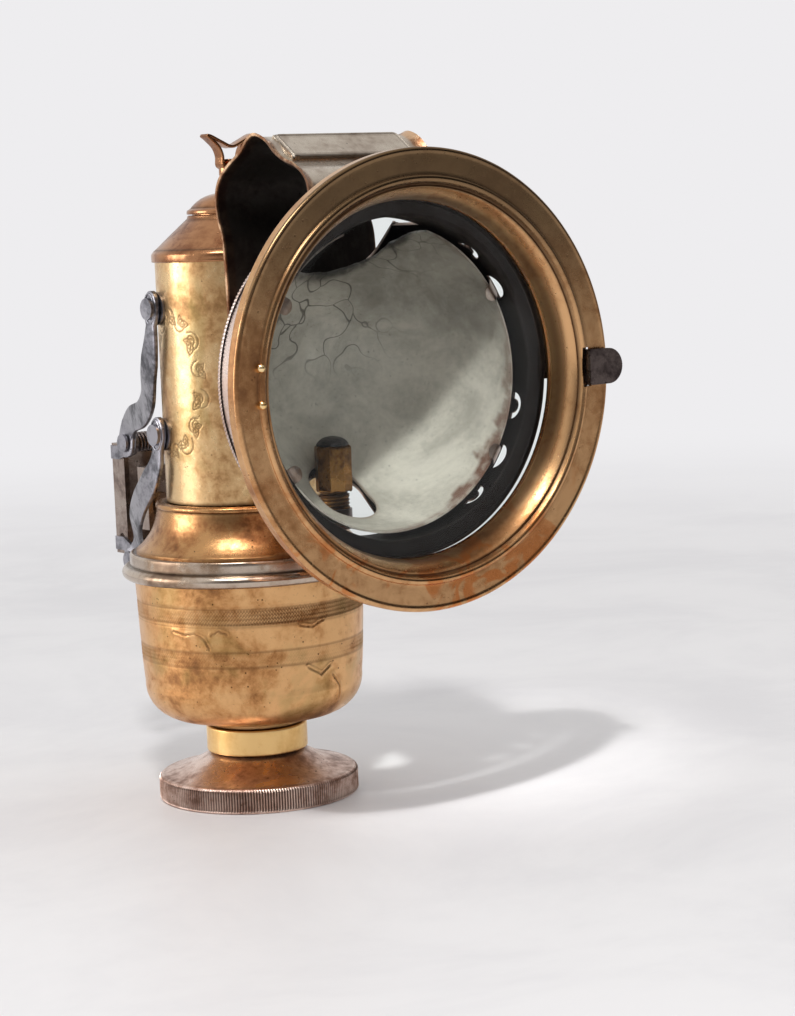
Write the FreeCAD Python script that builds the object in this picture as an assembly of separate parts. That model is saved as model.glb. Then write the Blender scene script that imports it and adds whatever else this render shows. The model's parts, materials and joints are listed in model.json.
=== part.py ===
"""A bicycle carbide lamp: gas generator, water tank, lamp head with a glazed door, and a sprung bracket.

Millimetres. +Z is up along the axis of foot, cup and tank. The lamp shines along -Y.
The origin is the middle of the foot's underside. "fwd" below is a distance along -Y.
"""
import FreeCAD, Part
import math
import os

V = FreeCAD.Vector

# ---- driving dimensions: generator -------------------------------------------------------------
FOOT_R = 28.4            # knurled foot
FOOT_RIM_H = 6.2
FOOT_TOP_Z = 12.9
STUD_R = 4.15            # screw stud of the foot
STUD_TOP_Z = 25.0
COLLAR_R = 14.35
COLLAR_Z = (13.2, 20.5)
RUN = 0.06               # running clearance on a radius
GAP = 0.3                # gap between pieces that move past each other

CUP_R_LOW = 31.3         # at the lower knurled band
CUP_R_TOP = 32.4
CUP_TOP_Z = 64.6
CUP_WALL = 0.9
BASKET_R = 29.2
BASKET_Z = (25.6, 54.0)

BEAD_R = 35.8            # rolled bead of the generator head
BEAD_Z = 65.7
STEP_R = 33.4            # plain ring above the bead
STEP_TOP_Z = 71.1
SKIRT_R = 31.0
SKIRT_LOW_Z = 56.0
SHOULDER_R = 31.5
SHOULDER_NECK_R = 25.4
SHOULDER_TOP_Z = 85.2

# ---- driving dimensions: water tank ------------------------------------------------------------
TANK_R = 22.3
TANK_WALL = 0.7
TANK_Z = (85.2, 153.2)
CAP_LIP_R = 23.3
NECK_R = 12.5
NECK_Z = 164.6
LID_R = 12.8
LID_TOP_Z = 170.4
ROD_R = 2.0
HUB_Z = 175.2
ROD_TOP_Z = 179.8
HANDLE_TIP = (8.4, 186.8)
HANDLE_STRIP = 4.0

# ---- driving dimensions: lamp head -------------------------------------------------------------
LENS_Z = 120.7           # height of the lens axis
DRUM_R = 42.2
DRUM_REAR = 56.0
DRUM_FRONT = 78.4
DRUM_FLANGE_R = 46.2
SHEET = 0.7
BACK_APEX = 24.6
BOWL_R = 40.0            # painted bowl of the reflector
BOWL_EDGE = 73.3
BOWL_DEPTH = 44.0
DOOR_R = 58.6
DOOR_FACE = 89.4
GLASS_R = 46.0
GLASS_FWD = (80.6, 81.4)
SLEEVE_FWD = 80.0        # back end of the sleeve that holds the glass
HINGE_X = -48.9
HINGE_FWD = 79.2
HINGE_Z = 123.0
LATCH_X = 52.9
LATCH_FWD = 86.7
LATCH_HALF = 4.7
HOOD_HALF = 24.0

# ---- driving dimensions: burner and bracket ----------------------------------------------------
BURNER_FWD = 44.3
BURNER_R = 4.75          # corner radius of the eight-sided body
BURNER_BODY_Z = (89.4, 102.0)
BURNER_TOP_Z = 104.5
PIPE_Z = 74.6
PIPE_R = 2.8
FRONT_PIVOT_Y = 6.5
REAR_PIVOT_Y = 50.0
UPPER_PIVOT_Z = (139.4, 98.6)    # front, rear
PIVOT_SPACING = 35.0             # lower straps hang this far below the upper ones
PIN_R = 1.6
STRAP_T = 1.6
STRAP_W = 7.6
LUG_X = 22.8
CLAMP_HALF = 7.0
JAW_Z = (64.6, 97.8)
SCREW_Z = 79.8

ORIGIN = V(0, 0, 0)
Z_AXIS = V(0, 0, 1)
X_AXIS = V(1, 0, 0)
BACK = V(0, 1, 0)
LENS = V(0, 0, LENS_Z)


# ---- helpers ---------------------------------------------------------------------------------
def wire(steps, place):
    """A closed wire. A step is a point, or (middle, end) of an arc from the last point."""
    edges = []
    first = place(*steps[0])
    last = first
    for step in steps[1:]:
        if isinstance(step[0], tuple):
            middle, end = place(*step[0]), place(*step[1])
            edges.append(Part.Arc(last, middle, end).toShape())
        else:
            end = place(*step)
            edges.append(Part.LineSegment(last, end).toShape())
        last = end
    if (last - first).Length > 1e-6:
        edges.append(Part.LineSegment(last, first).toShape())
    return Part.Wire(edges)


def turned(steps):
    """A solid turned about the upright axis, from (radius, height) steps."""
    face = Part.Face(wire(steps, lambda r, z: V(r, 0, z)))
    return face.revolve(ORIGIN, Z_AXIS, 360)


def spun(steps):
    """A solid turned about the lens axis, from (radius, fwd) steps."""
    face = Part.Face(wire(steps, lambda r, fwd: V(0, -fwd, LENS_Z + r)))
    return face.revolve(LENS, BACK, 360)


def side_plate(steps, x_low, thickness):
    """A plate of an outline in (y, z), from x_low towards +X."""
    face = Part.Face(wire(steps, lambda y, z: V(x_low, y, z)))
    return face.extrude(V(thickness, 0, 0))


def box(x, y, z):
    """A box from its (low, high) spans."""
    return Part.makeBox(x[1] - x[0], y[1] - y[0], z[1] - z[0], V(x[0], y[0], z[0]))


def rod(radius, start, end):
    """A round rod between two points."""
    return Part.makeCylinder(radius, (end - start).Length, start, end - start)


def ring(outer, inner, z_low, z_high):
    """An upright plain ring."""
    tube = Part.makeCylinder(outer, z_high - z_low, V(0, 0, z_low))
    return tube.cut(Part.makeCylinder(inner, z_high - z_low, V(0, 0, z_low)))


def prism(sides, radius, low, height):
    """An upright prism with the given corner radius, a flat side towards -Y."""
    corners = []
    for i in range(sides):
        angle = 2 * math.pi / sides * (i + 0.5) - math.pi / 2
        corners.append(V(radius * math.cos(angle), radius * math.sin(angle), low))
    face = Part.Face(Part.makePolygon(corners + corners[:1]))
    return face.extrude(V(0, 0, height))


def mirrored(shape):
    """The same piece on the other side of the lamp."""
    return shape.mirror(ORIGIN, X_AXIS)


def group(solids):
    """Several separate solids in one node."""
    return Part.makeCompound(solids)


def curve(points, place):
    """A smooth edge through a few points."""
    spline = Part.BSplineCurve()
    spline.interpolate([place(*p) for p in points])
    return spline.toShape()


# ---- generator -------------------------------------------------------------------------------
def foot_disc():
    top = 0.7
    disc = turned([(0, 0), (FOOT_R - 0.5, 0), (FOOT_R, 0.5), (FOOT_R, FOOT_RIM_H),
                   (FOOT_R - 1.0, FOOT_RIM_H + top), ((21.5, 8.6), (14.5, FOOT_TOP_Z - 0.9)),
                   (12.9, FOOT_TOP_Z), (0, FOOT_TOP_Z)])
    return disc.fuse(Part.makeCylinder(STUD_R, STUD_TOP_Z - FOOT_TOP_Z, V(0, 0, FOOT_TOP_Z)))


def foot_collar():
    low, high = COLLAR_Z
    return turned([(STUD_R + RUN, low), (COLLAR_R - 0.4, low), (COLLAR_R, low + 0.4),
                   (COLLAR_R, high - 0.4), (COLLAR_R - 0.4, high), (STUD_R + RUN, high)])


def cup():
    boss_z = COLLAR_Z[1] + GAP
    wall = CUP_WALL
    outside = [(STUD_R + RUN, boss_z), (13.6, boss_z), (13.6, 21.7), (24.0, 24.0),
               ((29.2, 28.2), (30.8, 34.6)), (CUP_R_LOW, 40.4), (CUP_R_TOP, CUP_TOP_Z)]
    inside = [(CUP_R_TOP - wall, CUP_TOP_Z), (CUP_R_LOW - wall, 40.5), (30.8 - wall, 34.8),
              ((28.4, 28.8), (23.6, 25.0)), (13.0, 22.9), (STUD_R + RUN, 22.9)]
    return turned(outside + inside)


def carbide_basket():
    low, high = BASKET_Z
    wall = 0.6
    shell = turned([(0, low), (23.0, low), ((27.6, 28.6), (BASKET_R, 34.6)), (BASKET_R, high),
                    (BASKET_R - wall, high), (BASKET_R - wall, 34.8),
                    ((27.0, 29.2), (22.8, low + wall)), (0, low + wall)])
    holes = []
    per_row = 12
    for row in range(2):
        for i in range(per_row):
            turn = 360.0 / per_row * (i + 0.5 * row)
            hole = rod(1.6, V(BASKET_R - 3, 0, 40 + 7 * row), V(BASKET_R + 3, 0, 40 + 7 * row))
            hole.rotate(ORIGIN, Z_AXIS, turn)
            holes.append(hole)
    return shell.cut(holes)


def head_rim():
    inner = SKIRT_R - 0.8
    seat = 66.2
    return turned([(inner, SKIRT_LOW_Z), (SKIRT_R, SKIRT_LOW_Z), (SKIRT_R, seat), (33.9, seat),
                   (33.9, BEAD_Z - 1.8), ((BEAD_R, BEAD_Z), (33.9, BEAD_Z + 1.8)),
                   (STEP_R, BEAD_Z + 2.0), (STEP_R, STEP_TOP_Z - 0.5),
                   (STEP_R - 0.5, STEP_TOP_Z), (inner, STEP_TOP_Z)])


def head_gasket():
    return ring(33.85, SKIRT_R + 0.02, CUP_TOP_Z + GAP, 66.2)


def gas_filter():
    return ring(SKIRT_R - 0.9, 5.0, 66.6, 70.6)


def shoulder():
    wall = 0.8
    outside = [(SHOULDER_R, STEP_TOP_Z), (SHOULDER_R, STEP_TOP_Z + 0.6),
               ((27.2, 76.6), (SHOULDER_NECK_R, SHOULDER_TOP_Z - 1.2)),
               ((SHOULDER_NECK_R - 0.2, SHOULDER_TOP_Z - 0.4), (SHOULDER_NECK_R - 0.9, SHOULDER_TOP_Z))]
    inside = [(TANK_R - TANK_WALL, SHOULDER_TOP_Z), (TANK_R - TANK_WALL, SHOULDER_TOP_Z - wall),
              (SHOULDER_NECK_R - wall, SHOULDER_TOP_Z - 1.3),
              ((27.2 - wall, 76.4), (SHOULDER_R - wall, STEP_TOP_Z))]
    shell = turned(outside + inside)
    return shell.cut(rod(PIPE_R, V(0, -20, PIPE_Z), V(0, -40, PIPE_Z)))


# ---- water side ------------------------------------------------------------------------------
def tank():
    return ring(TANK_R, TANK_R - TANK_WALL, *TANK_Z)


def tank_floor():
    return ring(TANK_R - TANK_WALL, 2.4, TANK_Z[0], TANK_Z[0] + 1.0)


def tank_cap():
    top = TANK_Z[1]
    lip = 0.9
    return turned([(TANK_R, top - 1.2), (CAP_LIP_R, top - 1.2), (CAP_LIP_R, top + 1.6),
                   (CAP_LIP_R - 0.8, top + 2.6), ((17.3, NECK_Z - 4.9), (NECK_R, NECK_Z - 0.6)),
                   (NECK_R, NECK_Z), (NECK_R - lip, NECK_Z), (NECK_R - lip, NECK_Z - 0.8),
                   ((16.6, NECK_Z - 5.6), (TANK_R - 1.2, top + 2.0)), (TANK_R - 0.9, top), (TANK_R, top)])


def filler_lid():
    rim_z = NECK_Z + GAP
    skirt = NECK_R - 0.9 - GAP
    bore = ROD_R + RUN
    return turned([(bore, LID_TOP_Z - 1.0), (skirt - 0.7, rim_z + 0.9), (skirt - 0.7, rim_z - 3.4),
                   (skirt, rim_z - 3.4), (skirt, rim_z), (LID_R - 0.5, rim_z),
                   ((LID_R, rim_z + 0.6), (LID_R - 0.6, rim_z + 1.2)),
                   ((8.4, rim_z + 4.2), (bore, LID_TOP_Z))])


def valve_body():
    floor = TANK_Z[0] + 1.0
    body = ring(4.2, ROD_R + RUN, floor, floor + 10)
    port = rod(0.8, V(-5, 0, floor + 1.6), V(5, 0, floor + 1.6))
    return body.cut(port)


def valve_rod():
    seat = TANK_Z[0] + 1.6
    return turned([(0, seat), (0.5, seat), (ROD_R, seat + 2.4), (ROD_R, ROD_TOP_Z), (0, ROD_TOP_Z)])


def handle_side(points):
    """A prism across the handle from the left half of its outline in (x, z), mirrored to the right."""
    right = [(-x, z) for x, z in points if x < 0]
    corners = [V(x, -HANDLE_STRIP / 2, z) for x, z in points + right[::-1]]
    face = Part.Face(Part.makePolygon(corners + corners[:1]))
    return face.extrude(V(0, HANDLE_STRIP, 0))


def valve_handle():
    """A flat strip bent into a heart-shaped loop on a hub."""
    tip_x, tip_z = HANDLE_TIP
    foot = HUB_Z + 2.0
    outer = [(-3.4, foot), (-4.0, foot + 1.6), (-3.6, foot + 4.4), (-4.8, foot + 6.8),
             (-tip_x, tip_z), (-5.9, tip_z - 0.3), (0, tip_z - 3.2)]
    inner = [(-2.7, foot + 0.8), (-3.1, foot + 1.9), (-2.8, foot + 4.6), (-4.0, foot + 7.0),
             (0, tip_z - 4.2)]
    loop = handle_side(outer).cut(handle_side(inner))
    hub = Part.makeCylinder(3.2, 2.6, V(0, 0, HUB_Z))
    return loop.fuse(hub).cut(Part.makeCylinder(ROD_R, 8, V(0, 0, HUB_Z - 1)))


def handle_nut():
    low = HUB_Z + 2.8
    return prism(6, 2.6, low, 1.2).cut(Part.makeCylinder(ROD_R, 3, V(0, 0, low - 0.5)))


def drip_tube():
    return ring(2.4, 1.3, 46.0, TANK_Z[0] + 1.0)


def tube_nut():
    low = TANK_Z[0] - 2.4
    return prism(6, 5.0, low, 2.4).cut(Part.makeCylinder(2.4, 3, V(0, 0, low - 0.3)))


# ---- gas side --------------------------------------------------------------------------------
def gas_pipe():
    bend = 5.0
    start = V(0, -27.0, PIPE_Z)
    turn_y = -(BURNER_FWD - bend)
    first = rod(PIPE_R, start, V(0, turn_y, PIPE_Z))
    circle = Part.Face(Part.Wire(Part.makeCircle(PIPE_R, V(0, turn_y, PIPE_Z), BACK)))
    elbow = circle.revolve(V(0, turn_y, PIPE_Z + bend), X_AXIS, -90)
    rise = rod(PIPE_R, V(0, -BURNER_FWD, PIPE_Z + bend), V(0, -BURNER_FWD, PIPE_Z + bend + 2.4))
    bore = rod(PIPE_R - 1, start, V(0, turn_y, PIPE_Z))
    return first.fuse([elbow, rise]).cut(bore).removeSplitter()


def burner_socket():
    low = PIPE_Z + 5.0
    socket = Part.makeCylinder(4.6, 5.4, V(0, -BURNER_FWD, low))
    return socket.cut(Part.makeCylinder(PIPE_R, 2.4, V(0, -BURNER_FWD, low)))


def burner():
    low = PIPE_Z + 10.4
    neck, top = BURNER_BODY_Z
    burner_body = Part.makeCylinder(BURNER_R - 0.6, neck - low, V(0, 0, low))
    burner_body = burner_body.fuse(prism(8, BURNER_R, neck, top - neck))
    burner_body.translate(V(0, -BURNER_FWD, 0))
    return burner_body


def burner_tip():
    low = BURNER_BODY_Z[1]
    rise = BURNER_TOP_Z - low
    edge = BURNER_R * math.cos(math.pi / 8) - 0.04
    ball = (edge ** 2 + rise ** 2) / (2 * rise)
    tip = Part.makeSphere(ball, V(0, -BURNER_FWD, BURNER_TOP_Z - ball))
    return tip.common(box((-9, 9), (-BURNER_FWD - 9, -BURNER_FWD + 9), (low, low + 9)))


# ---- lamp head -------------------------------------------------------------------------------
BACK_OUTLINE = [(0, BACK_APEX), ((9.0, BACK_APEX + 1.2), (18.0, 30.0)), (27.5, 38.0), (34.0, 46.0),
                (39.4, 52.6), (DRUM_R, DRUM_REAR)]
DRUM_BEAD = ((DRUM_R + 0.6, DRUM_REAR + 0.8), (DRUM_R, DRUM_REAR + 1.6))


def head_volume():
    """Everything inside the head's skin, to trim what meets it."""
    return spun(BACK_OUTLINE + [DRUM_BEAD, (DRUM_R, DRUM_FRONT), (0, DRUM_FRONT)])


def head_openings():
    """Chimney hole at the top, burner slot at the bottom."""
    top = box((-14, 14), (-70, -50), (LENS_Z + 20, LENS_Z + 50))
    arch = Part.makeCylinder(14, 30, V(0, -50, LENS_Z + 20))
    slot = box((-8, 8), (-60, -46), (LENS_Z - 50, LENS_Z - 20))
    slot_end = Part.makeCylinder(8, 30, V(0, -46, LENS_Z - 50))
    return top.fuse([arch, slot, slot_end])


def drum():
    inner = DRUM_R - SHEET
    lip = DRUM_FLANGE_R
    step = DRUM_FRONT - 2.0
    shell = spun([(inner, DRUM_REAR), (DRUM_R, DRUM_REAR), DRUM_BEAD, (DRUM_R, step), (lip, step),
                  (lip, DRUM_FRONT), (lip - SHEET, DRUM_FRONT), (lip - SHEET, step + SHEET),
                  (inner, step + SHEET)])
    cuts = [head_openings()]
    for angle in CLIP_ANGLES + VENT_ANGLES:
        start, end = V(inner - 3, -VENT_FWD, LENS_Z), V(DRUM_R + 3, -VENT_FWD, LENS_Z)
        window = rod(VENT_R, start, end)
        window = window.common(box((0, 60), (-VENT_FWD - 9, -VENT_FWD), (LENS_Z - 9, LENS_Z + 9)))
        window.rotate(LENS, BACK, -angle)
        cuts.append(window)
    return shell.cut(cuts)


CLIP_ANGLES = (32, -34, 148, -146)    # degrees up from +X, seen from the front
VENT_ANGLES = (50, -14, -52, 194, 232)
VENT_FWD = 69.4          # straight rear edge of a half-round vent
VENT_R = 3.1


def reflector_clips():
    """Tongues bent in from the drum that hold the bowl's edge."""
    clips = []
    for angle in CLIP_ANGLES:
        height = (LENS_Z - 2.2, LENS_Z + 2.2)
        root = DRUM_R - SHEET - 0.06
        leg = box((root - 1.7, root), (-BOWL_EDGE - 0.9, -BOWL_EDGE - 0.1), height)
        leg = leg.fuse(box((root - 0.5, root), (-BOWL_EDGE - 0.9, -VENT_FWD - VENT_R - 0.1), height))
        leg.rotate(LENS, BACK, -angle)
        clips.append(leg)
    return group(clips)


def back_shell():
    cavity = [(0, BACK_APEX + SHEET), ((8.8, BACK_APEX + 1.2 + SHEET), (17.4, 30.4)), (27.0, 38.5),
              (33.5, 46.5), (38.9, 53.0), (DRUM_R - SHEET, DRUM_REAR)]
    solid = spun(BACK_OUTLINE + [(0, DRUM_REAR)])
    hollow = spun(cavity + [(0, DRUM_REAR)])
    return solid.cut([hollow, head_openings()])


def bowl_fwd(radius, grow):
    """How far forward the bowl's surface is at a radius."""
    edge = BOWL_R + grow
    return BOWL_EDGE - (BOWL_DEPTH + grow) * math.sqrt(max(0.0, 1 - (radius / edge) ** 2))


def reflector():
    def place(r, fwd):
        return V(0, -fwd, LENS_Z + r)

    def side(grow):
        edge = BOWL_R + grow
        points = []
        steps = 8
        for i in range(steps + 1):
            radius = edge * math.sin(math.pi / 2 * i / steps)
            points.append((radius, bowl_fwd(radius, grow)))
        return points

    back, front = side(0.5), side(0.0)
    edges = [curve(back, place), Part.LineSegment(place(*back[-1]), place(*front[-1])).toShape(),
             curve(front[::-1], place), Part.LineSegment(place(*front[0]), place(*back[0])).toShape()]
    bowl = Part.Face(Part.Wire(edges)).revolve(LENS, BACK, 360)
    top = box((-13, 13), (-80, -53.5), (LENS_Z, LENS_Z + 60))
    arch = Part.makeCylinder(13, 60, V(0, -53.5, LENS_Z))
    slot = Part.makeCylinder(7.5, 60, V(0, -50.5, LENS_Z - 60))
    slot_end = Part.makeCylinder(7.5, 60, V(0, -45.5, LENS_Z - 60))
    slot_mid = box((-7.5, 7.5), (-50.5, -45.5), (LENS_Z - 60, LENS_Z))
    return bowl.cut([top, arch, slot, slot_end, slot_mid])


def saddle_block():
    """Short neck that joins the head's back to the tank."""
    neck = rod(9.0, V(0, -18, LENS_Z), V(0, -30, LENS_Z))
    return neck.cut([Part.makeCylinder(TANK_R, 60, V(0, 0, LENS_Z - 30)), head_volume()])


HOOD_REAR = [(34.2, 137.5), (33.9, 148.0), (33.2, 158.0), (31.2, 163.6), (30.7, 168.4), (32.4, 173.0),
             (37.2, 176.8), (43.0, 179.9), (46.4, 182.7), (50.0, 183.9)]
HOOD_FRONT = [(50.0, 183.9), (54.4, 182.2), (58.2, 178.9), (62.8, 176.5), (68.2, 174.7), (72.0, 171.6),
              (72.8, 167.4), (72.4, 160.0), (72.4, 150.0)]


def hood_section(inset):
    """The ogee section of the chimney in (fwd, z), shrunk by inset."""
    def place(fwd, z):
        return V(-HOOD_HALF - 5, -fwd, z)

    def shrink(points):
        moved = []
        for i, (fwd, z) in enumerate(points):
            before = points[max(0, i - 1)]
            after = points[min(len(points) - 1, i + 1)]
            run, rise = after[0] - before[0], after[1] - before[1]
            size = math.hypot(run, rise)
            moved.append((fwd + rise / size * inset, z - run / size * inset))
        return moved

    rear, front = shrink(HOOD_REAR), shrink(HOOD_FRONT)
    middle = (HOOD_FRONT[0][0], HOOD_FRONT[0][1] - inset)
    rear[-1] = middle
    front[0] = middle
    floor = 130.0
    edges = [Part.LineSegment(place(rear[0][0], floor), place(*rear[0])).toShape(),
             curve(rear, place), curve(front, place),
             Part.LineSegment(place(*front[-1]), place(front[-1][0], floor)).toShape(),
             Part.LineSegment(place(front[-1][0], floor), place(rear[0][0], floor)).toShape()]
    return Part.Face(Part.Wire(edges))


def hood():
    length = 2 * HOOD_HALF
    outer = hood_section(0).extrude(V(length, 0, 0))
    outer.translate(V(5, 0, 0))
    inner = hood_section(0.8).extrude(V(length + 10, 0, 0))
    below = box((-40, 40), (-90, 0), (100, 137.5))
    return outer.cut([inner, below, head_volume()])


def hood_plate():
    """Raised framed plate on the hood's front slope."""
    length, width, rise = 39.0, 10.8, 0.5
    top, foot = V(0, -51.6, 184.0), V(0, -60.8, 177.9)
    down = (foot - top).normalize()
    out = V(0, down.z, -down.y)
    if out.z < 0:
        out = out * -1
    base = top + out * 0.25
    plate = Part.makeBox(length, width, rise)
    frame = plate.cut(Part.makeBox(length - 2.4, width - 2.4, rise, V(1.2, 1.2, 0.25)))
    turn = FreeCAD.Matrix(1, 0, 0, -length / 2, 0, down.y, out.y, base.y, 0, down.z, out.z, base.z,
                          0, 0, 0, 1)
    frame = frame.transformGeometry(turn)
    backing = hood_section(0).extrude(V(4 * HOOD_HALF, 0, 0))
    return frame.cut(backing)


# ---- door ------------------------------------------------------------------------------------
def bezel_shell():
    face = DOOR_FACE
    front = [(DOOR_R - 0.8, 86.2), (DOOR_R, 86.2), (DOOR_R, 88.8),
             ((DOOR_R - 0.35, face + 0.15), (DOOR_R - 1.2, face + 0.4)), (51.4, face),
             ((50.6, face + 0.9), (49.8, face)), (49.3, face - 0.8), (48.7, face - 0.5),
             ((46.9, 86.0), (45.5, GLASS_FWD[1]))]
    back = [(GLASS_R + 0.1, GLASS_FWD[1]), (GLASS_R + 0.1, SLEEVE_FWD), (GLASS_R + 0.9, SLEEVE_FWD),
            (GLASS_R + 0.9, 82.0), ((47.8, 86.0), (49.2, face - 1.6)), (51.4, face - 0.8),
            (DOOR_R - 1.4, face - 0.6), (DOOR_R - 0.8, face - 1.2)]
    return spun(front + back)


def bezel():
    slot = box((49.8, 52.4), (-91, -84), (LENS_Z - 5.2, LENS_Z + 5.2))
    return bezel_shell().cut([slot, door_rivets()])


RIVET_X = -51.1
RIVET_Z = (HINGE_Z - 4.45, HINGE_Z + 4.45)


def lens_glass():
    return rod(GLASS_R, V(0, -GLASS_FWD[0], LENS_Z), V(0, -GLASS_FWD[1], LENS_Z))


def glass_ring():
    inner, outer = GLASS_R - 0.3, GLASS_R + 0.1
    return spun([(inner, SLEEVE_FWD), (outer, SLEEVE_FWD), (outer, GLASS_FWD[0]), (inner, GLASS_FWD[0])])


def knuckle(low, high):
    outer = Part.makeCylinder(1.7, high - low, V(HINGE_X, -HINGE_FWD, low))
    return outer.cut(Part.makeCylinder(0.8 + RUN, high - low, V(HINGE_X, -HINGE_FWD, low)))


def pin_bore():
    return Part.makeCylinder(0.8 + RUN, 40, V(HINGE_X, -HINGE_FWD, HINGE_Z - 20))


def hinge_leaf_door():
    half = 5.2
    low, high = HINGE_Z - half, HINGE_Z + half
    arm = box((-50.4, -49.6), (-88.6, -HINGE_FWD), (low, high))
    tab = box((-55.0, -49.6), (-88.6, -87.8), (low, high))
    leaf = knuckle(low, high).fuse([arm, tab]).cut(pin_bore())
    return leaf.cut([door_rivets(), bezel_shell()])


def door_rivets():
    rivets = []
    for z in RIVET_Z:
        shank = rod(0.5, V(RIVET_X, -87.0, z), V(RIVET_X, -DOOR_FACE - 0.6, z))
        head = Part.makeSphere(1.15, V(RIVET_X, -DOOR_FACE - 0.55, z))
        head = head.cut(box((-53, -49), (-DOOR_FACE - 0.5, -80), (z - 2, z + 2)))
        rivets.append(shank.fuse(head))
    return group(rivets)


def hinge_leaf_fixed():
    spans = [(HINGE_Z - 10.4, HINGE_Z - 5.5), (HINGE_Z + 5.5, HINGE_Z + 10.4)]
    knuckles = [knuckle(*s) for s in spans]
    leaf = box((-50.0, -41.0), (-77.2, -76.4), (HINGE_Z - 10.4, HINGE_Z + 10.4))
    relief = box((-55.0, -47.0), (-86, -70), (HINGE_Z - 5.5, HINGE_Z + 5.5))
    webs = [box((HINGE_X - 0.8, HINGE_X + 1.7), (-HINGE_FWD, -76.4), s) for s in spans]
    leaf = leaf.cut(relief).fuse(knuckles + webs)
    inside = spun([(0, 60), (DRUM_FLANGE_R, 60), (DRUM_FLANGE_R, 90), (0, 90)])
    return leaf.cut([inside, pin_bore()])


def hinge_pin():
    low, high = HINGE_Z - 10.8, HINGE_Z + 10.8
    pin = Part.makeCylinder(0.8, high - low, V(HINGE_X, -HINGE_FWD, low))
    heads = [Part.makeCylinder(1.3, 0.6, V(HINGE_X, -HINGE_FWD, z)) for z in (low - 0.3, high - 0.3)]
    return pin.fuse(heads)


def latch():
    low, high = LENS_Z - LATCH_HALF, LENS_Z + LATCH_HALF
    bore = Part.makeCylinder(0.7 + RUN, 20, V(LATCH_X, -LATCH_FWD, LENS_Z - 10))
    leg = box((50.6, 51.5), (-92.1, -76.0), (low, high))
    catch = box((DRUM_FLANGE_R + GAP, 51.5), (-76.9, -76.0), (low + 1.5, high - 1.5))
    tab = box((50.6, 57.0), (-92.1, -91.2), (low, high))
    thumb = rod(LATCH_HALF, V(57.0, -92.1, LENS_Z), V(57.0, -91.2, LENS_Z))
    curl = Part.makeCylinder(1.5, high - low - 1.6, V(LATCH_X, -LATCH_FWD, low + 0.8))
    return leg.fuse([catch, tab, thumb, curl]).cut(bore)


def latch_pin():
    """Pin on two ears behind the door's face."""
    reach = LATCH_HALF + 1.2
    pin = Part.makeCylinder(0.7, 2 * reach, V(LATCH_X, -LATCH_FWD, LENS_Z - reach))
    ears = []
    for z in (LENS_Z - LATCH_HALF - 1.2, LENS_Z + LATCH_HALF + 0.4):
        ears.append(box((LATCH_X - 1.2, LATCH_X + 1.4), (-88.65, -LATCH_FWD + 1.2), (z, z + 0.8)))
    return pin.fuse(ears)


# ---- bracket ---------------------------------------------------------------------------------
def pivots():
    """Front pivot heights: upper, lower."""
    return (UPPER_PIVOT_Z[0], UPPER_PIVOT_Z[0] - PIVOT_SPACING)


def rear_pivots():
    return (UPPER_PIVOT_Z[1], UPPER_PIVOT_Z[1] - PIVOT_SPACING)


def side_lugs():
    tank_side = Part.makeCylinder(TANK_R, 100, V(0, 0, 80))
    lugs = []
    for z in pivots():
        lug = rod(4.6, V(-14, FRONT_PIVOT_Y, z), V(-LUG_X, FRONT_PIVOT_Y, z)).cut(tank_side)
        lug = lug.cut(rod(PIN_R, V(-10, FRONT_PIVOT_Y, z), V(-30, FRONT_PIVOT_Y, z)))
        lugs += [lug, mirrored(lug)]
    return group(lugs)


def pivot_rivets():
    tank_side = Part.makeCylinder(TANK_R, 100, V(0, 0, 80))
    head_x = LUG_X + STRAP_T + 0.4
    rivets = []
    for z in pivots():
        shank = rod(PIN_R, V(-14, FRONT_PIVOT_Y, z), V(-head_x - 0.2, FRONT_PIVOT_Y, z))
        head = rod(3.0, V(-head_x, FRONT_PIVOT_Y, z), V(-head_x - 0.9, FRONT_PIVOT_Y, z))
        rivet = shank.fuse(head).cut(tank_side)
        rivets += [rivet, mirrored(rivet)]
    return group(rivets)


def strap(path, bores):
    """A flat strap along (x, y, z) points, its flat side facing -X, with round eyes at bores."""
    sections = []
    for i, (x, y, z) in enumerate(path):
        before, after = path[max(0, i - 1)], path[min(len(path) - 1, i + 1)]
        run, rise = after[1] - before[1], after[2] - before[2]
        size = math.hypot(run, rise)
        across = V(0, -rise / size, run / size) * (STRAP_W / 2)
        if 0 < i < len(path) - 1:
            across = across * 1.08
        middle = V(x, y, z)
        thick = V(STRAP_T / 2, 0, 0)
        corners = [middle + across + thick, middle - across + thick, middle - across - thick,
                   middle + across - thick]
        sections.append(Part.makePolygon(corners + corners[:1]))
    body = Part.makeLoft(sections, True, True)
    half = V(STRAP_T / 2, 0, 0)
    eyes = [rod(4.6, V(*p) - half, V(*p) + half) for p in bores]
    holes = [rod(PIN_R + RUN, V(*p) - half * 4, V(*p) + half * 4) for p in bores]
    return body.fuse(eyes).cut(holes)


def strap_path(drop):
    """Front eye, twist, elbow and rear eye of a strap, lowered by drop."""
    front_x = -(LUG_X + 0.2 + STRAP_T / 2)
    rear_x = -(CLAMP_HALF + 1.0 + 0.2 + STRAP_T / 2)
    front_z, rear_z = UPPER_PIVOT_Z[0] - drop, UPPER_PIVOT_Z[1] - drop
    return (front_x, FRONT_PIVOT_Y, front_z), (rear_x, REAR_PIVOT_Y, rear_z)


def upper_strap_left():
    front, rear = strap_path(0)
    path = [front, (front[0], 7.6, 131.0), (-22.4, 12.4, 121.0), (-19.4, 18.6, 113.6),
            (-15.8, 28.4, 108.8), (-12.0, 40.4, 106.4), (rear[0], 48.2, 103.0), rear]
    return strap(path, (front, rear))


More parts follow.
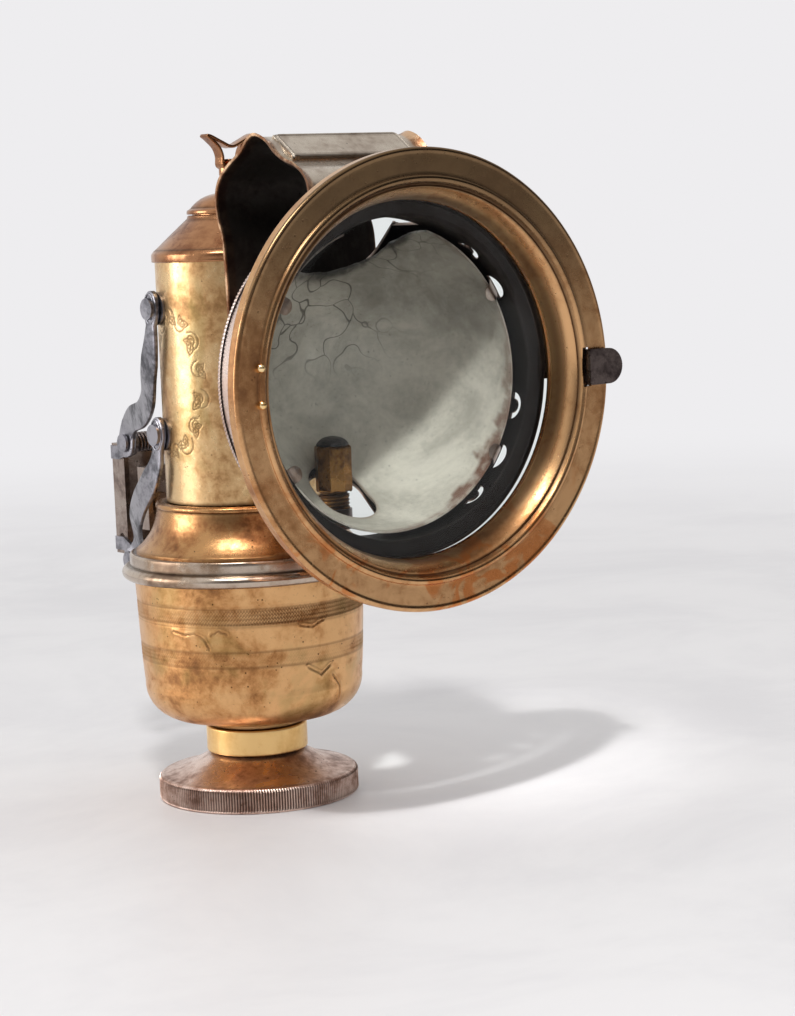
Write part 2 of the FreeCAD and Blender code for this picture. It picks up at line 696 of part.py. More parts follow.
def lower_strap_left():
    front, rear = strap_path(PIVOT_SPACING)
    path = [front, (front[0], 7.6, 97.4), (-23.8, 12.0, 91.2), (-21.4, 22.6, 84.0), (-17.0, 33.2, 76.8),
            (rear[0], 45.4, 67.6), rear]
    return strap(path, (front, rear))


def outer_jaw():
    low, high = JAW_Z
    half = CLAMP_HALF
    web = box((-half, half), (60.8, 62.6), (low, high))
    flanges = [box((-half, -half + 1.6), (55.8, 62.6), (low, high)),
               box((half - 1.6, half), (55.8, 62.6), (low, high))]
    jaw = web.fuse(flanges).removeSplitter()
    recess = rod(1.5, V(-half - 1, 59.0, low + 4.6), V(half + 1, 59.0, low + 4.6))
    return jaw.cut([recess, rod(2.2 + RUN, V(0, 50, SCREW_Z), V(0, 70, SCREW_Z))])


def clamp_cheeks():
    """Four small plates that carry the rear pins on the outer jaw."""
    cheeks = []
    for z, side in zip(rear_pivots(), (-1, 1)):
        eye = rod(3.8, V(-CLAMP_HALF - 1, REAR_PIVOT_Y, z), V(-CLAMP_HALF, REAR_PIVOT_Y, z))
        inner_z = z + side * 3.8
        arm = side_plate([(REAR_PIVOT_Y, z + 3.0), (REAR_PIVOT_Y, z - 3.0), (57.0, inner_z - 1.6),
                          (61.6, inner_z - 1.6), (61.6, inner_z + 2.4), (57.0, inner_z + 2.4)],
                         -CLAMP_HALF - 1, 1.0)
        bore = rod(PIN_R, V(-20, REAR_PIVOT_Y, z), V(20, REAR_PIVOT_Y, z))
        cheek = eye.fuse(arm).cut(bore).removeSplitter()
        cheeks += [cheek, mirrored(cheek)]
    return group(cheeks)


def clamp_pins():
    reach = CLAMP_HALF + 1.0 + STRAP_T + 0.4
    pins = []
    for z in rear_pivots():
        shaft = rod(PIN_R, V(-reach - 0.2, REAR_PIVOT_Y, z), V(reach + 0.2, REAR_PIVOT_Y, z))
        heads = [rod(2.7, V(s * reach, REAR_PIVOT_Y, z), V(s * (reach + 0.8), REAR_PIVOT_Y, z))
                 for s in (-1, 1)]
        pins.append(shaft.fuse(heads))
    return group(pins)


def bracket_springs():
    """Coil springs round the rear pins, as plain tubes of their outer shape."""
    half = CLAMP_HALF - 0.6
    tubes = []
    for z in rear_pivots():
        outer = rod(3.1, V(-half, REAR_PIVOT_Y, z), V(half, REAR_PIVOT_Y, z))
        tubes.append(outer.cut(rod(PIN_R, V(-half, REAR_PIVOT_Y, z), V(half, REAR_PIVOT_Y, z))))
    return group(tubes)


def inner_jaw():
    low, high = 72.6, 91.2
    bar = box((-6.0, 6.0), (44.4, 49.8), (low, high))
    recess = box((-4.4, 4.4), (43.0, 47.4), (low - 1, high + 1))
    boss = rod(3.6, V(0, 44.6, SCREW_Z), V(0, 49.0, SCREW_Z))
    return bar.cut(recess).fuse(boss).cut(rod(1.9 + RUN, V(0, 40, SCREW_Z), V(0, 55, SCREW_Z)))


def clamp_screw():
    thread = rod(1.9, V(0, 43.6, SCREW_Z), V(0, 62.6, SCREW_Z))
    neck = rod(2.2, V(0, 60.6, SCREW_Z), V(0, 63.0, SCREW_Z))
    head = rod(4.4, V(0, 62.9, SCREW_Z), V(0, 66.6, SCREW_Z))
    slot = box((-0.5, 0.5), (65.6, 67.0), (SCREW_Z - 5, SCREW_Z + 5))
    return thread.fuse([neck, head]).cut(slot)


PARTS = {
    "foot_disc": foot_disc, "foot_collar": foot_collar, "cup": cup, "carbide_basket": carbide_basket,
    "head_rim": head_rim, "head_gasket": head_gasket, "gas_filter": gas_filter, "shoulder": shoulder,
    "tank": tank, "tank_floor": tank_floor, "tank_cap": tank_cap, "filler_lid": filler_lid,
    "valve_body": valve_body, "valve_rod": valve_rod, "valve_handle": valve_handle,
    "handle_nut": handle_nut, "drip_tube": drip_tube, "tube_nut": tube_nut, "gas_pipe": gas_pipe,
    "burner_socket": burner_socket, "burner": burner, "burner_tip": burner_tip, "drum": drum,
    "reflector_clips": reflector_clips, "back_shell": back_shell, "reflector": reflector,
    "saddle_block": saddle_block, "hood": hood, "hood_plate": hood_plate, "bezel": bezel,
    "lens_glass": lens_glass, "glass_ring": glass_ring, "hinge_leaf_door": hinge_leaf_door,
    "door_rivets": door_rivets, "hinge_leaf_fixed": hinge_leaf_fixed, "hinge_pin": hinge_pin,
    "latch": latch, "latch_pin": latch_pin, "side_lugs": side_lugs, "pivot_rivets": pivot_rivets,
    "upper_strap_left": upper_strap_left, "lower_strap_left": lower_strap_left,
    "upper_strap_right": lambda: mirrored(upper_strap_left()),
    "lower_strap_right": lambda: mirrored(lower_strap_left()),
    "outer_jaw": outer_jaw, "clamp_cheeks": clamp_cheeks, "clamp_pins": clamp_pins,
    "bracket_springs": bracket_springs, "inner_jaw": inner_jaw, "clamp_screw": clamp_screw,
}

os.makedirs("parts", exist_ok=True)
for name, make in PARTS.items():
    shape = make()
    if not shape.isValid() or not shape.Solids or shape.Volume <= 0:
        raise SystemExit(name + " is not a sound solid")
    shape.exportStep("parts/" + name + ".step")
    print(name, len(shape.Solids), round(shape.Volume, 1))
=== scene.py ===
"""Looks of a bicycle carbide lamp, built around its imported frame.

Everything is placed in metres in the frame's own axes: +Z up, the lamp shines along -Y.
Lengths are written in millimetres and scaled by MM when a mesh is made. Materials and lights are in metres.
"""
import json
import math
import bpy
import numpy as np
from mathutils import Matrix, Vector


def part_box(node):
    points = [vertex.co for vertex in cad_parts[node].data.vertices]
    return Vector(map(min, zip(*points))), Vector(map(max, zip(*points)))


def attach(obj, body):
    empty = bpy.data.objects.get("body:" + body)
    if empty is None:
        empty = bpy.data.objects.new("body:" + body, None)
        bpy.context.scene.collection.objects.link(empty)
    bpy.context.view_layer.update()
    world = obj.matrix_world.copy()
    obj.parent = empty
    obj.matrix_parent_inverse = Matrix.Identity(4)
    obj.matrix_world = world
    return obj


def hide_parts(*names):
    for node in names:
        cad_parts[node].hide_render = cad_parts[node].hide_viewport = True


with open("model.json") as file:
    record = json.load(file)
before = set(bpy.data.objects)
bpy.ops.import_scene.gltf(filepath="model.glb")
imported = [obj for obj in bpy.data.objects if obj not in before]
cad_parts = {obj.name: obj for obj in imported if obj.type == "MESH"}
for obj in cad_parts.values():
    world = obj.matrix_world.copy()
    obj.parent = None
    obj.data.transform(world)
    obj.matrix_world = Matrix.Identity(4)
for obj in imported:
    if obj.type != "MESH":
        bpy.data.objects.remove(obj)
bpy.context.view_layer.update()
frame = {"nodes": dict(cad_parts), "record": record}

MM = 0.001
TURN = 2 * math.pi
BODY_OF = {node: body for body, nodes in frame["record"]["behaviour"]["bodies"].items() for node in nodes}


# ---- sizes read from the frame ------------------------------------------------------------------
def span(node, axis):
    """Lowest and highest coordinate of a node along an axis, in millimetres."""
    low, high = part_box(node)
    return low[axis] / MM, high[axis] / MM


X, Y, Z = 0, 1, 2
FOOT_R = span("foot_disc", X)[1]
COLLAR_Z = span("foot_collar", Z)
COLLAR_R = span("foot_collar", X)[1]
CUP_TOP_R = span("cup", X)[1]
CUP_Z = span("cup", Z)
BEAD_R = span("head_rim", X)[1]
RING_TOP_Z = span("head_rim", Z)[1]
SHOULDER_TOP_Z = span("shoulder", Z)[1]
TANK_R = span("tank", X)[1]
TANK_Z = span("tank", Z)
CAP_Z = span("tank_cap", Z)
CAP_R = span("tank_cap", X)[1]
LID_Z = span("filler_lid", Z)
LENS_Z = sum(span("lens_glass", Z)) / 2
DOOR_R = span("bezel", X)[1]
DOOR_FWD = -span("bezel", Y)[0]
GLASS_R = span("lens_glass", X)[1]
DRUM_FRONT, DRUM_REAR = (-y for y in span("drum", Y))
FLANGE_R = span("drum", X)[1]
BURNER_FWD = -sum(span("burner", Y)) / 2


# ---- outlines -----------------------------------------------------------------------------------
def arc(start, middle, end, steps=8):
    """Points of the round arc through three points, the start left out."""
    (ax, ay), (bx, by), (cx, cy) = start, middle, end
    d = 2 * (ax * (by - cy) + bx * (cy - ay) + cx * (ay - by))
    a2, b2, c2 = ax * ax + ay * ay, bx * bx + by * by, cx * cx + cy * cy
    ux = (a2 * (by - cy) + b2 * (cy - ay) + c2 * (ay - by)) / d
    uy = (a2 * (cx - bx) + b2 * (ax - cx) + c2 * (bx - ax)) / d
    radius = math.hypot(ax - ux, ay - uy)
    first = math.atan2(ay - uy, ax - ux)
    to_middle = (math.atan2(by - uy, bx - ux) - first) % TURN
    to_end = (math.atan2(cy - uy, cx - ux) - first) % TURN
    if to_middle > to_end:
        to_end -= TURN
    angles = [first + to_end * i / steps for i in range(1, steps + 1)]
    return [(ux + radius * math.cos(a), uy + radius * math.sin(a)) for a in angles]


def outline(steps):
    """Corner points of an outline. A step is (r, h), (r, h, corner radius) or an arc's (middle, end)."""
    points = [tuple(steps[0]) + (0,) * (3 - len(steps[0]))]
    for step in steps[1:]:
        if isinstance(step[0], tuple):
            points += [p + (0,) for p in arc(points[-1][:2], *step)]
        else:
            points.append(tuple(step) + (0,) * (3 - len(step)))
    return points


def soften(points, closed=True, steps=4):
    """Rounds the corners that carry a radius."""
    done = []
    count = len(points)
    for i, (r, h, radius) in enumerate(points):
        here = np.array((r, h))
        if radius == 0 or (not closed and i in (0, count - 1)):
            done.append(here)
            continue
        arms = [np.array(points[(i + k) % count][:2]) - here for k in (-1, 1)]
        lengths = [np.linalg.norm(a) for a in arms]
        reach = min(radius, 0.45 * lengths[0], 0.45 * lengths[1])
        ends = [here + a / n * reach for a, n in zip(arms, lengths)]
        for k in range(steps + 1):
            t = k / steps
            done.append((1 - t) ** 2 * ends[0] + 2 * t * (1 - t) * here + t * t * ends[1])
    return np.array(done)


def refine(points, spacing, closed=True):
    """Adds points so that no run is longer than spacing (a number, or a function of the run's middle)."""
    done = []
    count = len(points)
    for i in range(count if closed else count - 1):
        a, b = points[i], points[(i + 1) % count]
        step = spacing((a + b) / 2) if callable(spacing) else spacing
        parts = max(1, int(math.ceil(np.linalg.norm(b - a) / step)))
        done += [a + (b - a) * k / parts for k in range(parts)]
    if not closed:
        done.append(points[-1])
    return np.array(done)


def contour(steps, spacing, closed=True, rounding=4):
    """An outline's points, its corners rounded and its long runs divided."""
    return refine(soften(outline(steps), closed, rounding), spacing, closed)


# ---- meshes -------------------------------------------------------------------------------------
def make_mesh(name, verts, faces, material, sharp=40, marks=None):
    """An object from vertices in millimetres, its faces turned outwards and its hard edges kept."""
    verts = np.asarray(verts, float)
    mesh = bpy.data.meshes.new(name)
    mesh.from_pydata((verts * MM).tolist(), [], [list(f) for f in faces])
    mesh.validate()
    mesh.update()
    if signed_volume(mesh) < 0:
        mesh.flip_normals()
    mesh.shade_smooth()
    mesh.set_sharp_from_angle(angle=math.radians(sharp))
    for key, values in (marks or {}).items():
        layer = mesh.attributes.new(key, "FLOAT", "POINT")
        layer.data.foreach_set("value", np.asarray(values, np.float32).ravel())
    piece = bpy.data.objects.new(name, mesh)
    bpy.context.scene.collection.objects.link(piece)
    if material is not None:
        mesh.materials.append(material)
    return piece


def signed_volume(mesh):
    """Volume by the divergence sum over the mesh's triangles."""
    mesh.calc_loop_triangles()
    count = len(mesh.loop_triangles)
    corners = np.empty(count * 3, np.int32)
    mesh.loop_triangles.foreach_get("vertices", corners)
    places = np.empty(len(mesh.vertices) * 3, np.float32)
    mesh.vertices.foreach_get("co", places)
    p = places.reshape(-1, 3).astype(float)[corners.reshape(-1, 3)]
    return float(np.einsum("ij,ij->i", p[:, 0], np.cross(p[:, 1], p[:, 2])).sum()) / 6


def upright(r, h, a):
    """Places (radius, height, angle) about the upright axis."""
    return np.stack([r * np.cos(a), r * np.sin(a), h + 0 * a], -1)


def lensward(r, fwd, a):
    """Places (radius, forward, angle) about the lens axis; the angle starts at +X and goes up."""
    return np.stack([r * np.cos(a), -fwd + 0 * a, LENS_Z + r * np.sin(a)], -1)


def lathe(name, profile, material, place=upright, segments=180, relief=None, angles=None, sharp=40):
    """A turned piece. An outline that starts and ends on the axis is closed there with poles."""
    profile = np.asarray(profile, float)
    solid = abs(profile[0, 0]) < 1e-6 and abs(profile[-1, 0]) < 1e-6
    turn = np.linspace(0, TURN, segments, endpoint=False) if angles is None else angles
    before, after = np.roll(profile, 1, 0), np.roll(profile, -1, 0)
    if solid:
        before[0], after[-1] = profile[0], profile[-1]
    tangent = after - before
    area = np.sum(profile[:, 0] * np.roll(profile[:, 1], -1) - np.roll(profile[:, 0], -1) * profile[:, 1])
    normal = np.stack([tangent[:, 1], -tangent[:, 0]], -1) * np.sign(area)
    normal /= np.maximum(np.linalg.norm(normal, axis=1, keepdims=True), 1e-9)
    r = np.repeat(profile[:, :1], len(turn), 1)
    h = np.repeat(profile[:, 1:], len(turn), 1)
    a = np.repeat(turn[None, :], len(profile), 0)
    marks = {}
    if relief is not None:
        rise, dirt_and_shade = relief(r, h, a, normal)
        r = r + normal[:, :1] * rise
        h = h + normal[:, 1:] * rise
        marks["dirt_and_shade"] = dirt_and_shade
    grid = place(r, h, a)
    rows, cols = r.shape
    index = np.arange(rows * cols).reshape(rows, cols)
    if not solid:
        low, high = index, np.roll(index, -1, 0)
    else:
        low, high = index[1:-2], index[2:-1]
    quads = np.stack([low, np.roll(low, -1, 1), np.roll(high, -1, 1), high], -1).reshape(-1, 4)
    verts = grid.reshape(-1, 3)
    faces = quads.tolist()
    if solid:
        keep = list(range(cols, (rows - 1) * cols))
        verts = np.vstack([verts[keep], grid[0, :1], grid[-1, :1]])
        faces = (quads - cols).tolist()
        first, last = len(keep), len(keep) + 1
        top = (rows - 3) * cols
        for k in range(cols):
            faces.append([first, (k + 1) % cols, k])
            faces.append([last, top + k, top + (k + 1) % cols])
        marks = {key: np.append(np.asarray(v).ravel()[keep], [0, 0]) for key, v in marks.items()}
    return make_mesh(name, verts, faces, material, sharp, marks)


def frames_along(path, up, closed=False):
    """Side and up vectors at each point of a path."""
    path = np.asarray(path, float)
    if closed:
        ahead = np.roll(path, -1, 0) - np.roll(path, 1, 0)
    else:
        ahead = np.gradient(path, axis=0)
    ahead /= np.linalg.norm(ahead, axis=1, keepdims=True)
    ups = np.broadcast_to(np.asarray(up, float), path.shape).copy()
    ups -= ahead * np.einsum("ij,ij->i", ups, ahead)[:, None]
    ups /= np.maximum(np.linalg.norm(ups, axis=1, keepdims=True), 1e-9)
    return np.cross(ahead, ups), ups


def sweep(name, path, section, material, up=(0, 0, 1), closed=False, scale=None, sharp=40):
    """A section, points in (side, up), carried along a path and closed at its ends."""
    path = np.asarray(path, float)
    section = np.asarray(section, float)
    side, ups = frames_along(path, up, closed)
    size = np.ones((len(path), 2)) if scale is None else np.asarray(scale, float)
    verts = (path[:, None] + side[:, None] * (section[None, :, :1] * size[:, None, :1])
             + ups[:, None] * (section[None, :, 1:] * size[:, None, 1:]))
    rows, cols = verts.shape[:2]
    index = np.arange(rows * cols).reshape(rows, cols)
    low, high = (index, np.roll(index, -1, 0)) if closed else (index[:-1], index[1:])
    quads = np.stack([low, np.roll(low, -1, 1), np.roll(high, -1, 1), high], -1).reshape(-1, 4)
    faces = quads.tolist()
    if not closed:
        faces.append(index[0][::-1].tolist())
        faces.append(index[-1].tolist())
    return make_mesh(name, verts.reshape(-1, 3), faces, material, sharp)


def circle(radius, sides=16):
    """Round section."""
    return [(radius * math.cos(TURN * i / sides), radius * math.sin(TURN * i / sides)) for i in range(sides)]


def slab(width, thick, corner=0.3):
    """Flat section with soft edges."""
    w, t = width / 2, thick / 2
    return soften([(-w, -t, corner), (w, -t, corner), (w, t, corner), (-w, t, corner)], steps=3)


def smooth_path(points, steps=12):
    """A Catmull-Rom curve through points."""
    points = np.asarray(points, float)
    padded = np.vstack([2 * points[0] - points[1], points, 2 * points[-1] - points[-2]])
    done = []
    for i in range(1, len(padded) - 2):
        a, b, c, d = padded[i - 1:i + 3]
        for k in range(steps):
            t = k / steps
            done.append(0.5 * (2 * b + (c - a) * t + (2 * a - 5 * b + 4 * c - d) * t * t
                               + (3 * b - a - 3 * c + d) * t ** 3))
    done.append(points[-1])
    return np.array(done)


def lengths_along(path):
    """Length gone at each point of a path."""
    return np.concatenate([[0], np.cumsum(np.linalg.norm(np.diff(path, axis=0), axis=1))])


def sample(path, lengths, stops):
    """The path's values at other lengths gone."""
    return np.stack([np.interp(stops, lengths, column) for column in np.transpose(path)], -1)


def join(name, pieces):
    """Joins pieces into one object with one mesh."""
    for piece in bpy.context.selected_objects:
        piece.select_set(False)
    for piece in pieces:
        piece.select_set(True)
    bpy.context.view_layer.objects.active = pieces[0]
    bpy.ops.object.join()
    pieces[0].name = name
    pieces[0].data.name = name
    return pieces[0]


def apply_modifiers(piece):
    """Replaces the piece's mesh with what its modifiers make."""
    bpy.context.view_layer.update()
    graph = bpy.context.evaluated_depsgraph_get()
    mesh = bpy.data.meshes.new_from_object(piece.evaluated_get(graph))
    piece.modifiers.clear()
    piece.data = mesh


def carve(piece, cutters, sharp=40):
    """Cuts closed shapes out of a piece."""
    for cutter in cutters:
        cut = piece.modifiers.new("cut", "BOOLEAN")
        cut.operation = "DIFFERENCE"
        cut.solver = "EXACT"
        cut.object = cutter
    apply_modifiers(piece)
    for cutter in cutters:
        bpy.data.objects.remove(cutter)
    piece.data.shade_smooth()
    piece.data.set_sharp_from_angle(angle=math.radians(sharp))


def prism(name, points, low, high, place):
    """A straight block over an outline of (u, v) points between two depths."""
    count = len(points)
    verts = [place(u, v, low) for u, v in points] + [place(u, v, high) for u, v in points]
    faces = [list(range(count)), list(range(count, 2 * count))[::-1]]
    for i in range(count):
        j = (i + 1) % count
        faces.append([j, i, i + count, j + count])
    return make_mesh(name, verts, faces, None)


def stand_in(piece, node):
    """The piece takes the place of a CAD node and moves with its body."""
    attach(piece, BODY_OF[node])
    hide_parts(node)


def noise2(u, v, seed=0):
    """Smooth wandering values between about -1 and 1."""
    rng = np.random.RandomState(seed)
    total = np.zeros(np.broadcast(u, v).shape)
    for octave in range(5):
        for _ in range(3):
            angle, phase = rng.uniform(0, TURN, 2)
            pitch = 2.0 ** octave
            total = total + np.sin((u * math.cos(angle) + v * math.sin(angle)) * pitch + phase) / pitch
    return total / 3.5


def near_line(u, v, points):
    """Distance from (u, v) to a broken line."""
    best = np.full(np.broadcast(u, v).shape, 1e9)
    for (au, av), (bu, bv) in zip(points[:-1], points[1:]):
        du, dv = bu - au, bv - av
        t = np.clip(((u - au) * du + (v - av) * dv) / (du * du + dv * dv + 1e-12), 0, 1)
        best = np.minimum(best, np.hypot(u - au - t * du, v - av - t * dv))
    return best


# ---- materials ----------------------------------------------------------------------------------
BUMP_DEPTH = 0.0002      # metres


def tone(r, g, b):
    """A screen colour, 0 to 255, as linear light."""
    def linear(c):
        c = c / 255
        return c / 12.92 if c <= 0.04045 else ((c + 0.055) / 1.055) ** 2.4
    return (linear(r), linear(g), linear(b), 1.0)


class Nodes:
    """An emptied node tree, with short ways to add the nodes that the materials and the world share."""

    def __init__(self, tree):
        self.tree = tree
        tree.nodes.clear()

    def put(self, socket, value):
        """Sets a socket, or links another socket to it."""
        if isinstance(value, bpy.types.NodeSocket):
            self.tree.links.new(value, socket)
        else:
            socket.default_value = value

    def node(self, kind, **values):
        """A new node, with values or links for its named inputs."""
        made = self.tree.nodes.new(kind)
        for key, value in values.items():
            self.put(made.inputs[key.replace("_", " ")], value)
        return made

    def window(self, value, low, high, to_low=0.0, to_high=1.0):
        """Smooth step of a value from low to high."""
        made = self.node("ShaderNodeMapRange")
        made.interpolation_type = "SMOOTHSTEP"
        self.put(made.inputs["Value"], value)
        made.inputs["From Min"].default_value = low
        made.inputs["From Max"].default_value = high
        made.inputs["To Min"].default_value = to_low
        made.inputs["To Max"].default_value = to_high
        return made.outputs["Result"]

    def maths(self, operation, a, b, clamp=False):
        """A sum of two values or links."""
        made = self.node("ShaderNodeMath")
        made.operation = operation
        made.use_clamp = clamp
        self.put(made.inputs[0], a)
        self.put(made.inputs[1], b)
        return made.outputs[0]

    def times(self, a, b, clamp=False):
        return self.maths("MULTIPLY", a, b, clamp)

    def plus(self, a, b, clamp=False):
        return self.maths("ADD", a, b, clamp)

    def minus(self, a, b):
        return self.maths("SUBTRACT", a, b)

    def mix(self, amount, a, b):
        """Colour a where the amount is zero, colour b where it is one."""
        made = self.node("ShaderNodeMix", Factor=amount)
        made.data_type = "RGBA"
        self.put(made.inputs[6], a)
        self.put(made.inputs[7], b)
        return made.outputs[2]

    def either(self, amount, a, b):
        """Shader a where the amount is zero, shader b where it is one."""
        made = self.node("ShaderNodeMixShader")
        for socket, value in zip(made.inputs, (amount, a.outputs[0], b.outputs[0])):
            self.put(socket, value)
        return made


class Shader(Nodes):
    """A material with one surface, and the textures that the finishes share."""

    def __init__(self, name):
        self.material = bpy.data.materials.new(name)
        self.material.use_nodes = True
        super().__init__(self.material.node_tree)
        self.output = self.node("ShaderNodeOutputMaterial")
        self.surface = self.node("ShaderNodeBsdfPrincipled")
        self.show(self.surface)
        self.place = self.node("ShaderNodeTexCoord").outputs["Object"]

    def show(self, shader):
        """Sends a shader to the material's output."""
        self.put(self.output.inputs[0], shader.outputs[0])

    def moved(self, stretch=(1, 1, 1), shift=(0, 0, 0)):
        """Object coordinates, stretched and shifted."""
        mapping = self.node("ShaderNodeMapping", Vector=self.place, Scale=stretch, Location=shift)
        return mapping.outputs[0]

    def noise(self, scale, detail=5.0, roughness=0.6, distortion=0.0, stretch=(1, 1, 1), shift=(0, 0, 0)):
        made = self.node("ShaderNodeTexNoise", Vector=self.moved(stretch, shift), Scale=scale, Detail=detail,
                         Roughness=roughness, Distortion=distortion)
        return made.outputs["Fac"]

    def cells(self, scale, feature="F1", vector=None):
        """Distance from the middle, or with another feature from the edge, of scattered cells."""
        made = self.node("ShaderNodeTexVoronoi", Vector=vector or self.moved(), Scale=scale)
        made.feature = feature
        return made.outputs["Distance"]

    def part(self, axis):
        """One object coordinate, in metres."""
        return self.node("ShaderNodeSeparateXYZ", Vector=self.place).outputs[axis]

    def mark(self, name):
        """A value that the mesh carries at its points."""
        made = self.node("ShaderNodeAttribute")
        made.attribute_name = name
        return made.outputs["Fac"]

    def relief(self, height, strength):
        made = self.node("ShaderNodeBump", Height=height, Strength=strength, Distance=BUMP_DEPTH)
        self.put(self.surface.inputs["Normal"], made.outputs[0])


def metal(name, light, middle, dark, rough=(0.22, 0.42), mottle=55, fine=420, pits=0.25, dirt_and_shade=(30, 22, 16),
          grain=None, stains=0.35, bump=0.25, extra=None, metallic=1.0):
    """Aged metal: three tones in broad clouds, fine mottling, stains, pits, and a dark colour where the mesh
    marks dirt in its grooves and, in a few places, painted shade.

    Colours are screen colours. Mottle, fine and grain[0] are noise scales per metre, and grain[1] stretches
    that noise into brush marks. Rough is the lowest and the highest roughness. Pits, stains and bump run
    from 0 to 1.
    """
    light, middle, dark, dirt_and_shade = (tone(*colour) for colour in (light, middle, dark, dirt_and_shade))
    s = Shader(name)
    broad = s.noise(mottle, 4.0, 0.65, 0.4)
    small = s.noise(fine, 6.0, 0.7, 0.2)
    blend = s.plus(s.times(broad, 0.68), s.times(small, 0.32))
    colour = s.mix(s.window(blend, 0.42, 0.60), light, middle)
    colour = s.mix(s.times(s.window(blend, 0.53, 0.68), stains), colour, dark)
    speck = s.window(s.noise(1500, 3.0, 0.7), 0.62, 0.72)
    colour = s.mix(s.times(speck, pits), colour, dark)
    cell = s.window(s.cells(700), 0.10, 0.22, 1.0, 0.0)
    sparse = s.window(s.noise(260, 2.0, 0.5), 0.55, 0.66)
    pit = s.times(cell, sparse)
    colour = s.mix(s.times(pit, min(1.0, pits * 2.2)), colour, dirt_and_shade)
    if extra is not None:
        colour = extra(s, colour)
    # The mesh's mark carries dirt and, at a few places, painted shade; both take the dark colour here.
    dirt_and_shade_amount = s.times(s.mark("dirt_and_shade"), 1.0, clamp=True)
    colour = s.mix(dirt_and_shade_amount, colour, dirt_and_shade)
    s.put(s.surface.inputs["Base Color"], colour)
    s.surface.inputs["Metallic"].default_value = metallic
    roughness = s.plus(s.window(blend, 0.40, 0.66, rough[0], rough[1]), s.times(dirt_and_shade_amount, 0.3))
    roughness = s.plus(roughness, s.times(pit, 0.2), clamp=True)
    s.put(s.surface.inputs["Roughness"], roughness)
    height = s.minus(s.times(small, 0.35), s.times(pit, 0.8))
    if grain is not None:
        height = s.plus(height, s.times(s.noise(grain[0], 3.0, 0.6, stretch=grain[1]), 0.5))
    s.relief(height, bump)
    return s.material


# ---- finishes -----------------------------------------------------------------------------------
def edge_patina(s, colour):
    """Greenish tarnish in broad patches."""
    patch = s.window(s.noise(38, 3.0, 0.6, 0.8, shift=(0.3, 0.1, 0.2)), 0.52, 0.66, 0.0, 0.35)
    return s.mix(patch, colour, tone(140, 128, 74))


def flared_lip(s, colour):
    """Browner brass where the hood's lips have lost their plating."""
    spot = s.window(s.noise(170, 4.0, 0.6, 0.5), 0.36, 0.60)
    brown = s.mix(spot, tone(214, 176, 140), tone(132, 90, 62))
    return s.mix(s.mark("lip"), colour, brown)


def copper_spots_and_painted_dark_top(s, colour):
    """Copper spots low on the door ring, and a painted dark reflection, olive brown, over the upper half of
    its front face.
    """
    low = s.window(s.part("Z"), 0.108, 0.066)
    spot = s.window(s.noise(95, 3.0, 0.55, 0.9, shift=(0.2, 0.0, 0.5)), 0.50, 0.58)
    colour = s.mix(s.times(s.times(low, spot), 0.8), colour, tone(196, 118, 62))
    # Painted dark reflection: the front face is darkened towards the top, standing in for a dark room
    # mirrored there.
    high = s.window(s.part("Z"), 0.120, 0.168)
    flat = s.window(s.part("Y"), -0.0884, -0.0890)
    painted_dark_reflection = s.mix(s.noise(60, 4.0, 0.6, 0.4), tone(88, 74, 58), tone(132, 108, 78))
    return s.mix(s.times(s.times(high, flat), 0.85), colour, painted_dark_reflection)


